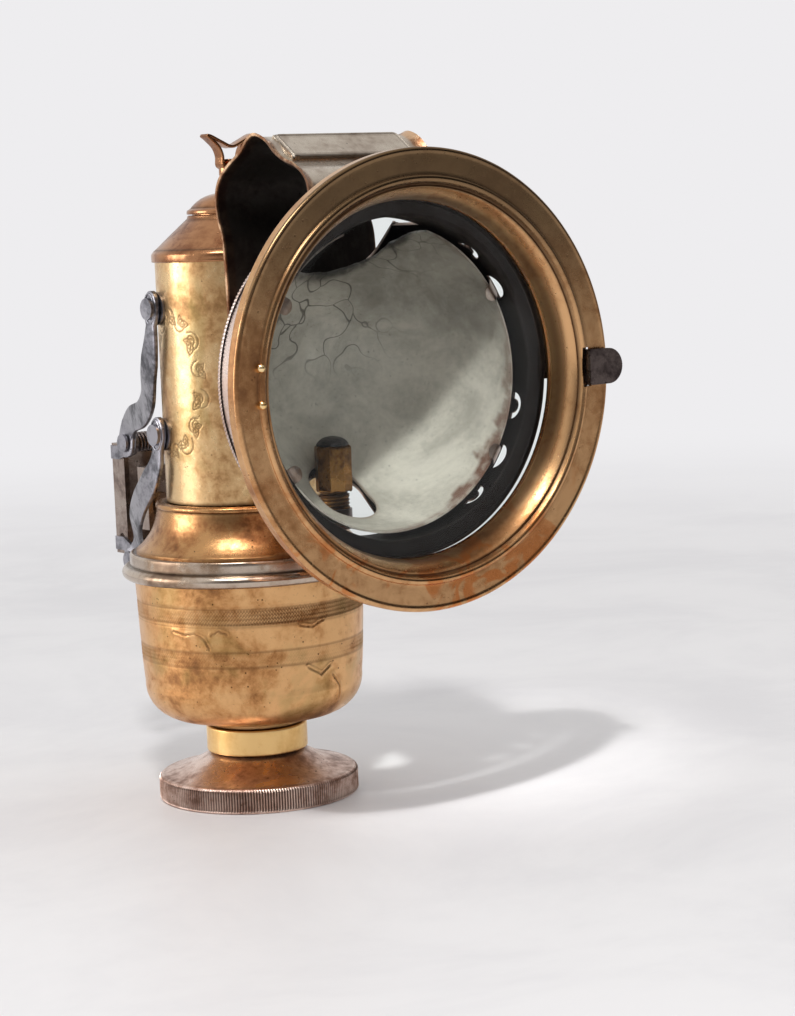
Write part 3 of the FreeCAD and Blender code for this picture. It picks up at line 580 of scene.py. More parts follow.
FINISH = {
    "tank": metal("tank_brass", (232, 198, 148), (190, 147, 99), (106, 74, 48), (0.24, 0.40),
                  mottle=42, fine=380, pits=0.45, dirt_and_shade=(74, 52, 30), stains=0.7, extra=edge_patina,
                  grain=(500, (1, 1, 0.12))),
    "cap": metal("cap_brass", (180, 130, 92), (138, 90, 60), (72, 44, 32), (0.16, 0.34),
                 mottle=70, fine=300, stains=0.6),
    "cup": metal("cup_brass", (226, 178, 124), (197, 142, 89), (112, 72, 50), (0.28, 0.46),
                 mottle=62, fine=330, pits=0.4, dirt_and_shade=(66, 40, 26), stains=0.75, extra=edge_patina),
    "collar": metal("collar_brass", (246, 206, 140), (232, 186, 118), (190, 140, 80), (0.28, 0.36),
                    mottle=60, pits=0.08, stains=0.2, grain=(700, (0.1, 0.1, 1))),
    "foot": metal("foot_copper", (234, 208, 194), (188, 154, 138), (88, 60, 48), (0.24, 0.42),
                  mottle=75, pits=0.4, dirt_and_shade=(50, 34, 28), stains=0.65),
    "rim": metal("rim_nickel", (196, 180, 164), (158, 134, 112), (84, 58, 46), (0.14, 0.34),
                 mottle=48, fine=300, stains=0.55),
    "shoulder": metal("shoulder_brass", (190, 144, 96), (150, 102, 64), (64, 40, 30), (0.22, 0.38),
                      mottle=90, pits=0.4, stains=0.65),
    "bezel": metal("bezel_brass", (214, 168, 120), (178, 128, 84), (104, 68, 48), (0.20, 0.36),
                   mottle=34, fine=300, pits=0.18, dirt_and_shade=(50, 34, 28), stains=0.6, extra=copper_spots_and_painted_dark_top, bump=0.14),
    "drum": metal("drum_nickel", (226, 206, 196), (204, 176, 160), (140, 104, 90), (0.22, 0.38),
                  mottle=50, fine=350, stains=0.4, dirt_and_shade=(20, 19, 24), bump=0.08),
    "hood": metal("hood_nickel", (214, 202, 186), (178, 162, 146), (112, 94, 82), (0.24, 0.40),
                  mottle=46, fine=320, stains=0.5, dirt_and_shade=(16, 14, 17), extra=flared_lip),
    "iron": metal("forged_iron", (160, 158, 164), (104, 103, 108), (40, 40, 44), (0.30, 0.48),
                  mottle=120, fine=500, pits=0.45, dirt_and_shade=(18, 18, 20), stains=0.7, bump=0.5),
    "jaw": metal("jaw_steel", (170, 156, 146), (128, 112, 104), (58, 48, 44), (0.24, 0.44),
                 mottle=90, pits=0.4, stains=0.6),
    "steel": metal("dark_steel", (112, 100, 96), (78, 68, 66), (36, 30, 30), (0.22, 0.40),
                   mottle=140, fine=500, pits=0.4, stains=0.6),
    "bright": metal("bright_brass", (252, 226, 176), (240, 198, 130), (150, 104, 62), (0.10, 0.24),
                    mottle=200, fine=600, pits=0.15, stains=0.4),
    "burner": metal("burner_brass", (150, 108, 62), (104, 72, 42), (40, 28, 22), (0.24, 0.42),
                    mottle=160, fine=500, pits=0.4, stains=0.7, dirt_and_shade=(18, 14, 11)),
    "inside": metal("sooty_nickel", (92, 80, 84), (58, 50, 56), (26, 22, 26), (0.26, 0.46),
                    mottle=70, fine=400, pits=0.3, dirt_and_shade=(10, 9, 10)),
    "ceramic": metal("burnt_tip", (78, 74, 76), (48, 46, 50), (22, 20, 22), (0.35, 0.6),
                     mottle=200, fine=600, pits=0.3, metallic=0.35),
}


def glass_finish():
    """Clear glass with a faint gloss, which lets the light through to the bowl."""
    s = Shader("lens_glass")
    s.tree.nodes.remove(s.surface)
    clear = s.node("ShaderNodeBsdfTransparent", Color=(0.96, 0.98, 0.97, 1))
    gloss = s.node("ShaderNodeBsdfGlossy", Roughness=0.04)
    fresnel = s.node("ShaderNodeFresnel", IOR=1.45)
    s.show(s.either(s.times(fresnel.outputs[0], 0.25), clear, gloss))
    return s.material


def plain_finish(name, colour, rough, bump=0.3):
    """Felt or rubber: a dull colour with small variation."""
    s = Shader(name)
    grain = s.noise(900, 5.0, 0.7)
    s.put(s.surface.inputs["Base Color"], s.mix(grain, tone(*colour), tone(*[c * 0.6 for c in colour])))
    s.surface.inputs["Roughness"].default_value = rough
    s.relief(grain, bump)
    return s.material


def bowl_finish():
    """Grey-green stove paint, sooted towards the chimney, crazed, chipped to rust along its edge."""
    s = Shader("bowl_paint")
    cloud = s.noise(48, 5.0, 0.62, 0.7)
    fine = s.noise(520, 6.0, 0.7)
    blend = s.plus(s.times(cloud, 0.75), s.times(fine, 0.25))
    colour = s.mix(s.window(blend, 0.36, 0.64), tone(205, 197, 186), tone(168, 161, 151))
    height = s.plus(s.part("Z"), s.times(s.part("X"), -0.35))
    wander = s.times(s.minus(cloud, 0.5), 0.05)
    smoke = s.window(s.plus(height, wander), 0.112, 0.155)
    colour = s.mix(s.times(smoke, 0.35), colour, tone(124, 112, 102))
    heavy = s.window(s.plus(height, wander), 0.150, 0.160)
    colour = s.mix(s.times(heavy, 0.75), colour, tone(44, 38, 38))
    bend = s.node("ShaderNodeMix", Factor=0.10)
    bend.data_type = "VECTOR"
    warp = s.node("ShaderNodeTexNoise", Vector=s.place, Scale=45.0)
    s.put(bend.inputs[4], s.place)
    s.put(bend.inputs[5], warp.outputs["Color"])
    crack = s.window(s.cells(44, "DISTANCE_TO_EDGE", vector=bend.outputs[1]), 0.010, 0.024, 1.0, 0.0)
    where = s.times(s.window(s.part("Z"), 0.116, 0.130), s.window(s.part("X"), 0.030, 0.012))
    crack = s.times(crack, where)
    colour = s.mix(s.times(crack, 0.7), colour, tone(44, 38, 36))
    soot = s.times(s.mark("soot"), s.window(s.noise(150, 5.0, 0.7, 0.5), 0.30, 0.60, 0.6, 1.0))
    colour = s.mix(soot, colour, tone(30, 26, 27))
    patchy = s.window(s.noise(160, 4.0, 0.6), 0.35, 0.55, 0.4, 1.0)
    rust = s.times(s.mark("rust"), patchy, clamp=True)
    colour = s.mix(rust, colour, tone(112, 78, 64))
    speck = s.window(s.noise(1100, 3.0, 0.6), 0.64, 0.72)
    colour = s.mix(s.times(speck, 0.5), colour, tone(90, 86, 78))
    s.put(s.surface.inputs["Base Color"], colour)
    s.put(s.surface.inputs["Roughness"], s.window(blend, 0.35, 0.65, 0.30, 0.48))
    s.surface.inputs["Metallic"].default_value = 0.0
    s.relief(s.minus(fine, crack), 0.25)
    return s.material


BOWL = bowl_finish()
GLASS = glass_finish()
RUBBER = plain_finish("rubber", (30, 30, 32), 0.6)
FELT = plain_finish("felt", (120, 112, 100), 0.95, bump=0.8)

SLOT_FINISH = {
    "nickel_worn": FINISH["rim"], "rubber_black": RUBBER, "felt_grey": FELT, "brass_polished": FINISH["tank"],
    "brass_plain": FINISH["cap"], "brass_satin": FINISH["collar"], "brass_aged": FINISH["cup"],
    "brass_burnt": FINISH["burner"], "brass_bezel": FINISH["bezel"], "steel_dark": FINISH["steel"],
    "ceramic_burnt": FINISH["ceramic"], "nickel_sooty": FINISH["inside"], "bowl_paint": BOWL,
    "nickel_warm": FINISH["hood"], "iron_dark": FINISH["iron"], "tin": FINISH["jaw"],
    "copper_brown": FINISH["foot"], "lens_glass": GLASS, "steel_plated": FINISH["jaw"],
}


def dress_frame():
    """Gives every CAD node the finish of its slot, before any piece takes its place."""
    for node in frame["nodes"].values():
        for place in node.material_slots:
            base = place.material.name.split(".")[0]
            if base in SLOT_FINISH:
                place.material = SLOT_FINISH[base]
            else:
                print("no finish for", node.name, base)


dress_frame()


# ---- shapes over a surface ----------------------------------------------------------------------
def triangle_wave(t):
    """Goes 0, 1, 0 over one unit."""
    return 1 - np.abs(2 * (t % 1.0) - 1)


def band(h, low, high, soft=0.25):
    """One inside a height range, falling off softly at its edges."""
    return np.clip((h - low) / soft, 0, 1) * np.clip((high - h) / soft, 0, 1)


def hump(x, centre, width):
    """One at the centre, falling off softly over the width."""
    return np.exp(-((x - centre) / width) ** 2)


def thread(h, a, pitch):
    """Depth of a screw thread, 0 to 1, at a height and an angle."""
    return triangle_wave(h / pitch - a / TURN)


def signed_degrees(a):
    """An angle in degrees, from -180 to 180."""
    return (np.degrees(a) + 180) % 360 - 180


def dents(a, h, seed, depth, pitch=9.0):
    """Shallow dents over a turned wall."""
    return depth * noise2(2.2 * np.cos(a) + 0.6 * np.sin(2 * a), h / pitch + 1.7 * np.sin(a), seed)


def turned(node, points, finish, slot=None, **options):
    """A turned piece that takes the place of a CAD node."""
    stand_in(lathe(node + "_look", points, FINISH[finish], **options), node)


# ---- generator ----------------------------------------------------------------------------------
BORE_R = 4.3            # clears the foot's stud



def foot():
    """Knurled foot with its screw stud."""
    rim, top = 6.2, COLLAR_Z[0] - 0.3
    stud_r, stud_top = 4.1, 25.0
    points = contour([(0, 0), (FOOT_R - 0.5, 0, 0.4), (FOOT_R, 0.5, 0.3), (FOOT_R, rim, 0.5),
                      (FOOT_R - 1.1, rim + 0.8, 0.4), ((21.5, 8.6), (14.5, top - 0.9)), (12.9, top, 0.6),
                      (stud_r, top, 0.1), (stud_r, stud_top, 0.4), (0, stud_top)], 0.9, closed=False)
    teeth = 226

    def relief(r, h, a, normal):
        on_rim = band(h, 0.5, rim + 0.5, 0.3) * (r > FOOT_R - 1.3)
        valley = 1 - triangle_wave(a * teeth / TURN)
        rise = -0.42 * valley * on_rim + dents(a, r, 3, 0.05)
        on_stud = band(h, top + 0.3, stud_top - 0.4) * (r < 5)
        rise = rise - 0.4 * thread(h, a, 1.5) * on_stud
        worn = 0.5 + 0.5 * noise2(a * 2, h * 0.2, 5)
        # The ring at the neck is painted shadow under the collar; the ring near the rim's top edge is a dark
        # groove line.
        groove = hump(r, 13.6, 0.7) + hump(r, 26.8, 0.5) * 0.5
        return rise, np.clip(valley * on_rim * (0.55 + 0.4 * worn) + groove * 0.5, 0, 0.85)

    turned("foot_disc", points, "foot", "copper_brown", segments=4 * teeth, relief=relief, sharp=60)


def collar():
    """Satin spacer between the foot and the cup."""
    low, high = COLLAR_Z
    points = contour([(BORE_R, low), (COLLAR_R, low, 0.5), (COLLAR_R, high, 0.5), (BORE_R, high)], 1.0)
    turned("foot_collar", points, "collar", "brass_satin")


KNURL_BANDS = ((53.0, 58.4, 1.0), (41.4, 46.2, 0.5))     # low, high, crispness
CUP_WALL_R = 31.8
# Each crack is a line of points (degrees round the cup, height).
CUP_CRACKS = (((-165.0, 51.6), (-158.0, 50.8), (-152.0, 51.4), (-147.0, 49.6), (-144.4, 46.8)),
              ((-143.0, 50.8), (-139.0, 51.9), (-135.0, 51.2)), ((-94.0, 40.6), (-86.0, 37.6), (-80.0, 39.6)),
              ((-98.0, 52.4), (-91.0, 51.4), (-84.0, 52.8)), ((-78.0, 37.0), (-73.0, 33.6), (-72.0, 30.0)))


def cup():
    """Carbide cup with two knurled bands, hairline cracks and shallow dents."""
    low, high = CUP_Z
    wall = 0.9
    outside = [(BORE_R, low), (13.6, low, 0.3), (13.6, 21.8, 0.3), (24.0, 24.0), ((29.2, 28.2), (30.8, 34.6)),
               (31.3, 40.4), (CUP_TOP_R, high, 0.3)]
    inside = [(CUP_TOP_R - wall, high, 0.3), (31.3 - wall, 40.5), (30.8 - wall, 34.8),
              ((28.4, 28.8), (23.6, 25.0)), (13.0, 22.9), (BORE_R, 22.9)]

    def spacing(middle):
        r, h = middle
        outer = r > 0.043 * (h - 40.4) + 30.9
        in_band = any(b[0] - 0.5 < h < b[1] + 0.5 for b in KNURL_BANDS)
        return 0.22 if outer and in_band else 0.36 if outer and h > 26 else 3.0

    points = contour(outside + inside, spacing)
    diamonds = 240

    def relief(r, h, a, normal):
        outer = normal[:, :1] > 0.5
        rise = dents(a, h, 11, 0.16, 16.0) + dents(3 * a, h, 12, 0.05, 7.0)
        dirt_and_shade = np.zeros_like(r)
        for base, top, crisp in KNURL_BANDS:
            here = band(h, base + 0.5, top - 0.5, 0.15) * outer
            wear = noise2(2.5 * np.cos(a), h * 0.3 + 2 * np.sin(a), 14)
            worn = crisp * np.clip(0.75 + 0.6 * wear, 0.25, 1.1)
            turn = a * diamonds / TURN
            climb = h * 0.95
            one = triangle_wave(turn + climb)
            other = triangle_wave(turn - climb)
            cut = np.maximum(one, other) ** 2
            rise = rise - 0.36 * cut * here * worn
            dirt_and_shade = dirt_and_shade + cut * here * worn
            for edge in (base, base + 0.5, top, top - 0.5):
                line = hump(h, edge, 0.16) * outer
                rise = rise - 0.12 * line * crisp
                dirt_and_shade = dirt_and_shade + 0.4 * line
        degrees = signed_degrees(a)
        for crack in CUP_CRACKS:
            across = [(math.radians(d) * CUP_WALL_R, z) for d, z in crack]
            wander = 0.45 * noise2(a * 14, h * 0.5, 15)
            gap = near_line(np.radians(degrees) * CUP_WALL_R, h + wander, across)
            line = hump(gap, 0, 0.30) * outer
            rise = rise - 0.18 * line + 0.16 * hump(gap, 0.5, 0.35) * outer
            dirt_and_shade = dirt_and_shade + 0.5 * line
        dirt_and_shade = dirt_and_shade + 0.55 * hump(h, low, 1.0) * (r > 12)
        return rise * outer, np.clip(dirt_and_shade, 0, 0.9)

    turned("cup", points, "cup", "brass_aged", segments=4 * diamonds, relief=relief, sharp=60)


def head_rim():
    """Rolled bead and plain ring of the generator head."""
    inner, skirt, step = 30.2, 31.0, 33.9
    skirt_low, seat, middle = 56.0, 66.2, 65.7
    points = contour([(inner, skirt_low), (skirt, skirt_low, 0.2), (skirt, seat), (step, seat),
                      (step, middle - 1.8, 0.2), ((BEAD_R, middle), (step, middle + 1.8)),
                      (step - 0.4, middle + 2.0), (step - 0.5, RING_TOP_Z, 0.7), (inner, RING_TOP_Z)], 0.7)

    def relief(r, h, a, normal):
        seen = r > 32
        groove = hump(h, middle + 2.0, 0.35) * seen
        # Painted shade in the crease under the bead, where the cup's top meets it.
        shade_under_bead = hump(h, middle - 1.9, 0.5) * seen
        return dents(a, h, 21, 0.10) * seen, np.clip(groove * 0.75 + shade_under_bead * 0.5, 0, 0.8)

    turned("head_rim", points, "rim", "nickel_worn", segments=240, relief=relief)


def shoulder():
    """Swept shoulder with a rolled edge where it grips the tank."""
    base, top = RING_TOP_Z, SHOULDER_TOP_Z
    neck, wall = 25.2, 0.8
    points = contour([(31.5, base), (31.5, base + 0.7, 0.5), ((27.3, 76.6), (neck, top - 1.9)),
                      ((neck + 0.35, top - 1.0), (neck - 0.5, top - 0.15)), (neck - 1.2, top - 0.05, 0.2),
                      (TANK_R - 0.6, top - 0.5), (TANK_R - 0.6, top - wall - 0.4), (neck - wall, top - 2.0),
                      ((27.3 - wall, 76.4), (31.5 - wall, base))], 0.6)

    def relief(r, h, a, normal):
        outer = normal[:, :1] > 0.2
        seam = hump(h, top - 2.0, 0.28) * outer
        foot_line = hump(h, base + 0.6, 0.5) * outer
        inner_edge = hump(r, TANK_R + 0.5, 0.6) * (h > top - 1.0)
        # Painted dark reflection: a darker patch near the top, on the side that faces the camera.
        patch = hump(signed_degrees(a), -140, 9) * hump(h, top - 3.4, 1.5)
        rise = dents(a, h, 23, 0.14) * outer - 0.18 * seam
        return rise, np.clip(0.7 * seam + 0.4 * foot_line + 0.8 * inner_edge + 0.5 * patch, 0, 0.85)

    turned("shoulder", points, "shoulder", "brass_plain", segments=240, relief=relief)


# ---- water tank ---------------------------------------------------------------------------------
def spiral(u, v, size, start, sweep_angle, flip=1):
    """A scroll that curls in from a point."""
    points = []
    for i in range(15):
        t = i / 14
        angle = math.radians(start) + flip * math.radians(sweep_angle) * t
        reach = size * (1 - 0.72 * t)
        points.append((u + reach * math.cos(angle), v + reach * math.sin(angle)))
    return points


def leaf(u, v, size, angle):
    """A pointed leaf with a vein."""
    c, s = math.cos(math.radians(angle)), math.sin(math.radians(angle))
    side = []
    for i in range(7):
        t = i / 6
        side.append((size * t, 0.34 * size * math.sin(math.pi * t) * (1.15 - 0.5 * t)))
    shape = side + [(x, -y) for x, y in side[::-1]] + [side[0]]
    vein = [(0.1 * size, 0), (0.7 * size, 0)]
    return [[(u + x * c - y * s, v + x * s + y * c) for x, y in line] for line in (shape, vein)]


def wreath(half_width, half_height):
    """Scrolls and leaves round an oval, in millimetres across and up."""
    lines = []
    count = 14
    for i in range(count):
        angle = TURN * (i + 0.5) / count
        u, v = half_width * math.cos(angle), half_height * math.sin(angle)
        heading = math.degrees(math.atan2(half_height * math.cos(angle), -half_width * math.sin(angle)))
        size = 2.9 + 0.9 * math.sin(3.1 * i)
        flip = 1 if i % 2 else -1
        lines.append(spiral(u, v, size, heading + 180, 420, flip))
        lines.append(spiral(u + 0.5 * flip, v + 0.8, size * 0.62, heading, 250, -flip))
        lines += leaf(u, v, size * 1.15, heading + 35 * flip)
        lines += leaf(u, v, size * 0.9, heading + 180 - 50 * flip)
    return lines


def tank():
    """Water tank with an engraved wreath on its left side."""
    low, high = TANK_Z
    wall = 0.7
    middle, half_width, half_height = 118.5, 11.0, 18.5
    engraved_height = half_height + 5
    half_turn = 46          # degrees of finely divided wall on each side of the wreath's middle
    corners = [(TANK_R - wall, low), (TANK_R, low), (TANK_R, high), (TANK_R - wall, high)]

    def spacing(point):
        r, h = point
        if r < TANK_R - 0.1:
            return 8.0
        return 0.24 if abs(h - middle) < engraved_height else 1.2

    fine = np.radians(np.arange(180 - half_turn, 180 + half_turn, 0.55))
    coarse = np.radians(np.arange(180 + half_turn, 540 - half_turn, 2.5))
    lines = wreath(half_width, half_height)

    def relief(r, h, a, normal):
        outside = r > TANK_R - 0.1
        u = -TANK_R * (a - math.pi)
        v = h - middle
        gap = np.full(r.shape, 9.0)
        near = outside & (np.abs(v) < engraved_height) & (np.abs(a - math.pi) < math.radians(half_turn))
        best = np.full(near.sum(), 9.0)
        for line in lines:
            best = np.minimum(best, near_line(u[near], v[near], line))
        gap[near] = best
        engraved = 0.75 * hump(gap, 0, 0.20)
        seam = hump(h, low, 0.7) + 0.7 * hump(h, high, 0.8)
        rise = (-0.12 * engraved + dents(a, h, 31, 0.05, 12.0)) * outside
        halo = 0.12 * hump(gap, 0, 0.9)
        return rise, np.clip((0.7 * engraved + halo + 0.8 * seam) * outside, 0, 0.85)

    turned("tank", contour(corners, spacing), "tank", "brass_polished", relief=relief,
           angles=np.concatenate([fine, coarse]), sharp=70)


def tank_cap():
    """Domed cap with a rolled lip and a neck for the filler lid."""
    base, top = CAP_Z
    neck = 12.5
    points = contour([(TANK_R + 0.02, base), (CAP_R - 0.1, base, 0.5), (CAP_R, base + 2.2, 0.9),
                      (CAP_R - 0.9, base + 3.2, 0.3), (CAP_R - 1.3, base + 3.5, 0.2),
                      ((17.3, top - 4.9), (neck + 0.2, top - 0.9)), (neck, top, 0.4), (neck - 0.9, top, 0.2),
                      (neck - 0.9, top - 0.9), ((16.5, top - 5.7), (TANK_R - 1.2, base + 3.0)),
                      (TANK_R - 0.9, base + 1.2), (TANK_R + 0.02, base + 1.2)], 0.7)

    def relief(r, h, a, normal):
        outer = normal[:, 1:] > -0.2
        groove = hump(r, CAP_R - 1.1, 0.35) * (h > base + 2.4)
        neck_line = hump(r, neck + 0.5, 0.5)
        return dents(a, r, 41, 0.10) * outer, np.clip(groove * 0.6 + neck_line * 0.4, 0, 0.8)

    turned("tank_cap", points, "cap", "brass_plain", segments=240, relief=relief)


def filler_lid():
    """Small domed lid, bored for the valve rod, level in the cap's neck."""
    low, top = LID_Z
    rim_z = low + 3.4
    bore, wide = 2.15, 12.7
    points = contour([(bore, top - 1.1), (10.6, rim_z + 0.9), (10.6, low), (11.2, low, 0.2), (11.2, rim_z),
                      (wide, rim_z, 0.3), (wide, rim_z + 1.0, 0.5), (wide - 1.0, rim_z + 1.5, 0.3),
                      ((8.4, rim_z + 4.3), (bore, top))], 0.6)

    def relief(r, h, a, normal):
        groove = hump(r, wide - 1.2, 0.3) * (h > rim_z + 1)
        return dents(a, r, 43, 0.05), np.clip(0.6 * groove, 0, 0.7)

    turned("filler_lid", points, "cap", "brass_plain", relief=relief)


def valve_parts():
    """Threaded rod, and its bent-strip handle with a round hub."""
    low, high = span("valve_rod", Z)
    points = contour([(0, low), (0.5, low), (1.95, low + 2.4), (1.95, high, 0.3), (0, high)], 0.22,
                     closed=False)

    def relief(r, h, a, normal):
        groove = thread(h, a, 1.0) * band(h, LID_Z[1] - 4, high - 0.3) * (r > 1.5)
        return -0.3 * groove, 0.6 * groove

    turned("valve_rod", points, "cap", segments=32, relief=relief)
    hub_low, tip = span("valve_handle", Z)
    half = [(-2.2, hub_low + 2.1), (-3.3, hub_low + 3.0), (-3.3, hub_low + 5.4), (-4.3, hub_low + 7.9),
            (-6.6, tip - 1.5), (-7.9, tip - 0.5), (-6.6, tip - 0.75), (-3.4, tip - 2.3), (0, tip - 3.6)]
    path = half + [(-x, z) for x, z in half[-2::-1]]
    path = smooth_path([(x, 0, z) for x, z in path], 5)
    strip = sweep("valve_handle_look", path, slab(0.85, 3.9, 0.25), FINISH["cap"], up=(0, 1, 0))
    hub_top = hub_low + 2.5
    ring = contour([(2.0, hub_low), (3.2, hub_low, 0.4), (3.2, hub_top, 0.4), (2.0, hub_top)], 0.6)
    hub = lathe("hub", ring, FINISH["cap"], segments=48)
    stand_in(join("valve_handle_look", [strip, hub]), "valve_handle")


foot()
collar()
cup()
head_rim()
shoulder()
tank()
tank_cap()
filler_lid()
valve_parts()


# ---- lamp head ----------------------------------------------------------------------------------
DRUM_R = 42.2
BACK_OUTLINE = [(0, 24.6), ((9.0, 25.8), (18.0, 30.0)), (27.5, 38.0), (34.0, 46.0), (39.4, 52.6),
                (DRUM_R, DRUM_REAR)]
CLIP_ANGLES = (32, -34, 148, -146)
VENT_ANGLES = (50, -14, -52, 194, 232)
VENT_FWD, VENT_R, TONGUE_R = 71.3, 3.7, 2.0
CHIMNEY_HOLE = (14, 36, 68)       # half width, rear end, front end
BURNER_SLOT = (8, 38, 60)


def paint(piece, key, value):
    """Writes a value at every point of a finished mesh, from places in millimetres and normals."""
    mesh = piece.data
    count = len(mesh.vertices)
    places = np.empty(count * 3, np.float32)
    mesh.vertices.foreach_get("co", places)
    turned = np.empty(count * 3, np.float32)
    mesh.vertices.foreach_get("normal", turned)
    if key in mesh.attributes:
        mesh.attributes.remove(mesh.attributes[key])
    layer = mesh.attributes.new(key, "FLOAT", "POINT")
    result = value(places.reshape(-1, 3).astype(float) / MM, turned.reshape(-1, 3).astype(float))
    layer.data.foreach_set("value", np.asarray(result, np.float32))


def half_round(centre_fwd, radius):
    """Outline of a half-round window, its straight edge to the rear."""
    angles = [math.pi * (i / 10 - 0.5) for i in range(11)]
    return [(radius * math.sin(a), centre_fwd + radius * math.cos(a)) for a in angles]


def crescent(centre_fwd, outer, inner):
    """Outline of the slit round a half-round tongue."""
    return half_round(centre_fwd, outer) + half_round(centre_fwd, inner)[::-1]


def radial(angle):
    """Places (across, forward, distance) on a ray that leaves the lens axis at an angle in degrees."""
    c, s = math.cos(math.radians(angle)), math.sin(math.radians(angle))
    return lambda u, fwd, d: (d * c - u * s, -fwd, LENS_Z + d * s + u * c)


def upward(u, fwd, z):
    """Places (across, forward, height)."""
    return (u, -fwd, z)


def rounded_slot(half_width, low_fwd, high_fwd, wobble=0.0):
    """Outline (x, forward) with a round rear end and a straight front end."""
    middle = low_fwd + half_width
    angles = np.linspace(0, math.pi, 25)
    points = [(half_width * math.cos(a), middle - half_width * math.sin(a)) for a in angles]
    points = refine(np.array(points + [(-half_width, high_fwd), (half_width, high_fwd)]), 0.8)
    ripple = wobble * noise2(points[:, 0] * 0.8, points[:, 1] * 0.8, 61)
    away = points - np.array([0, middle])
    away /= np.linalg.norm(away, axis=1, keepdims=True)
    return (points + away * ripple[:, None]).tolist()


def head_openings():
    """Cutters for the chimney hole and the burner slot."""
    return [prism("cut_top", rounded_slot(*CHIMNEY_HOLE), LENS_Z + 20, LENS_Z + 50, upward),
            prism("cut_slot", rounded_slot(*BURNER_SLOT), LENS_Z - 50, LENS_Z - 20, upward)]


def inward(places, normals):
    """One where a surface of the lamp head faces its axis or its inside."""
    out = places[:, [X, Z]] - np.array([0, LENS_Z])
    reach = np.maximum(np.linalg.norm(out, axis=1), 1e-6)
    return np.clip(-(out * normals[:, [X, Z]]).sum(1) / reach * 3, 0, 1)


def drum():
    """Body of the lamp head: half-round vents, a knurled bead behind and a flange in front."""
    inner, lip, step = DRUM_R - 0.7, FLANGE_R, DRUM_FRONT - 2.0
    points = contour([(inner, DRUM_REAR + 0.1), (DRUM_R, DRUM_REAR + 0.1), (DRUM_R, step - 1.2, 0.9),
                      (lip - 0.3, step, 0.4), (lip, DRUM_FRONT, 0.3), (lip - 0.7, DRUM_FRONT),
                      (lip - 0.8, step + 0.8, 0.3), (inner, step + 0.5, 0.6)], 2.4)

    def untrue(r, fwd, a):
        """The flange's upper right stands further forward, almost against the door."""
        degrees = signed_degrees(a)
        lift = np.clip((degrees + 3) / 5, 0, 1) * np.clip((132 - degrees) / 12, 0, 1)
        return lensward(r, fwd + 1.3 * lift * np.clip((fwd - step) / 1.5, 0, 1), a)

    shell = lathe("drum_shell", points, FINISH["drum"], untrue, segments=240)
    cutters = head_openings()
    for angle in CLIP_ANGLES + VENT_ANGLES:
        slit = half_round(VENT_FWD, VENT_R) if angle in CLIP_ANGLES else crescent(VENT_FWD, VENT_R, TONGUE_R)
        cutters.append(prism("vent", slit, DRUM_R - 4, DRUM_R + 3, radial(angle)))
    carve(shell, [join("cutters", cutters)])
    bead_in, bead_out = DRUM_R - 0.3, DRUM_R + 0.55
    bead = contour([(bead_in, DRUM_REAR), (bead_out, DRUM_REAR + 0.2, 0.3), (bead_out, DRUM_REAR + 1.5, 0.3),
                    (bead_in, DRUM_REAR + 1.7)], 0.3)
    teeth = 260

    def relief(r, fwd, a, normal):
        cut = (1 - triangle_wave(a * teeth / TURN + (fwd - DRUM_REAR) * 0.35)) * (r > DRUM_R + 0.2)
        return -0.28 * cut, 0.6 * cut

    knurl = lathe("bead", bead, FINISH["drum"], lensward, segments=4 * teeth, relief=relief, sharp=60)
    carve(knurl, [join("cutters", head_openings())], sharp=60)
    knurl.data.attributes.remove(knurl.data.attributes["dirt_and_shade"])
    piece = join("drum_look", [shell, knurl])
    rubbed_r = 43.1

    def dirt_and_shade(places, normals):
        reach = np.hypot(places[:, X], places[:, Z] - LENS_Z)
        inside = np.clip(inward(places, normals) + np.clip(-normals[:, Y] * 2 - 0.4, 0, 1), 0, 1)
        inside = inside * (1 - 0.6 * hump(reach, rubbed_r, 0.22) * (places[:, Y] < -step))
        valley = np.clip((DRUM_R + 0.48 - reach) / 0.2, 0, 1) * (places[:, Y] > -DRUM_REAR - 1.8) * 0.5
        return np.clip(inside * 0.95 + valley, 0, 0.95)

    paint(piece, "dirt_and_shade", dirt_and_shade)
    stand_in(piece, "drum")


def back_shell():
    """Rounded back of the lamp head."""
    outside = [(r, h) for r, h, _ in outline(BACK_OUTLINE)]
    inside = [(max(0.0, r - 0.55 * min(1, r / 4)), h + 0.55) for r, h in outside[::-1]]
    inside[0] = (DRUM_R - 0.75, DRUM_REAR)
    points = refine(np.array(outside + inside), 2.2, closed=False)
    points[-1] = (0, points[-1][1])
    shell = lathe("back_shell_look", points, FINISH["drum"], lensward, segments=200)
    carve(shell, [join("cutters", head_openings())])

    def dirt_and_shade(places, normals):
        return np.clip(normals[:, Y] * -2.5, 0, 1) * 0.95

    paint(shell, "dirt_and_shade", dirt_and_shade)
    stand_in(shell, "back_shell")


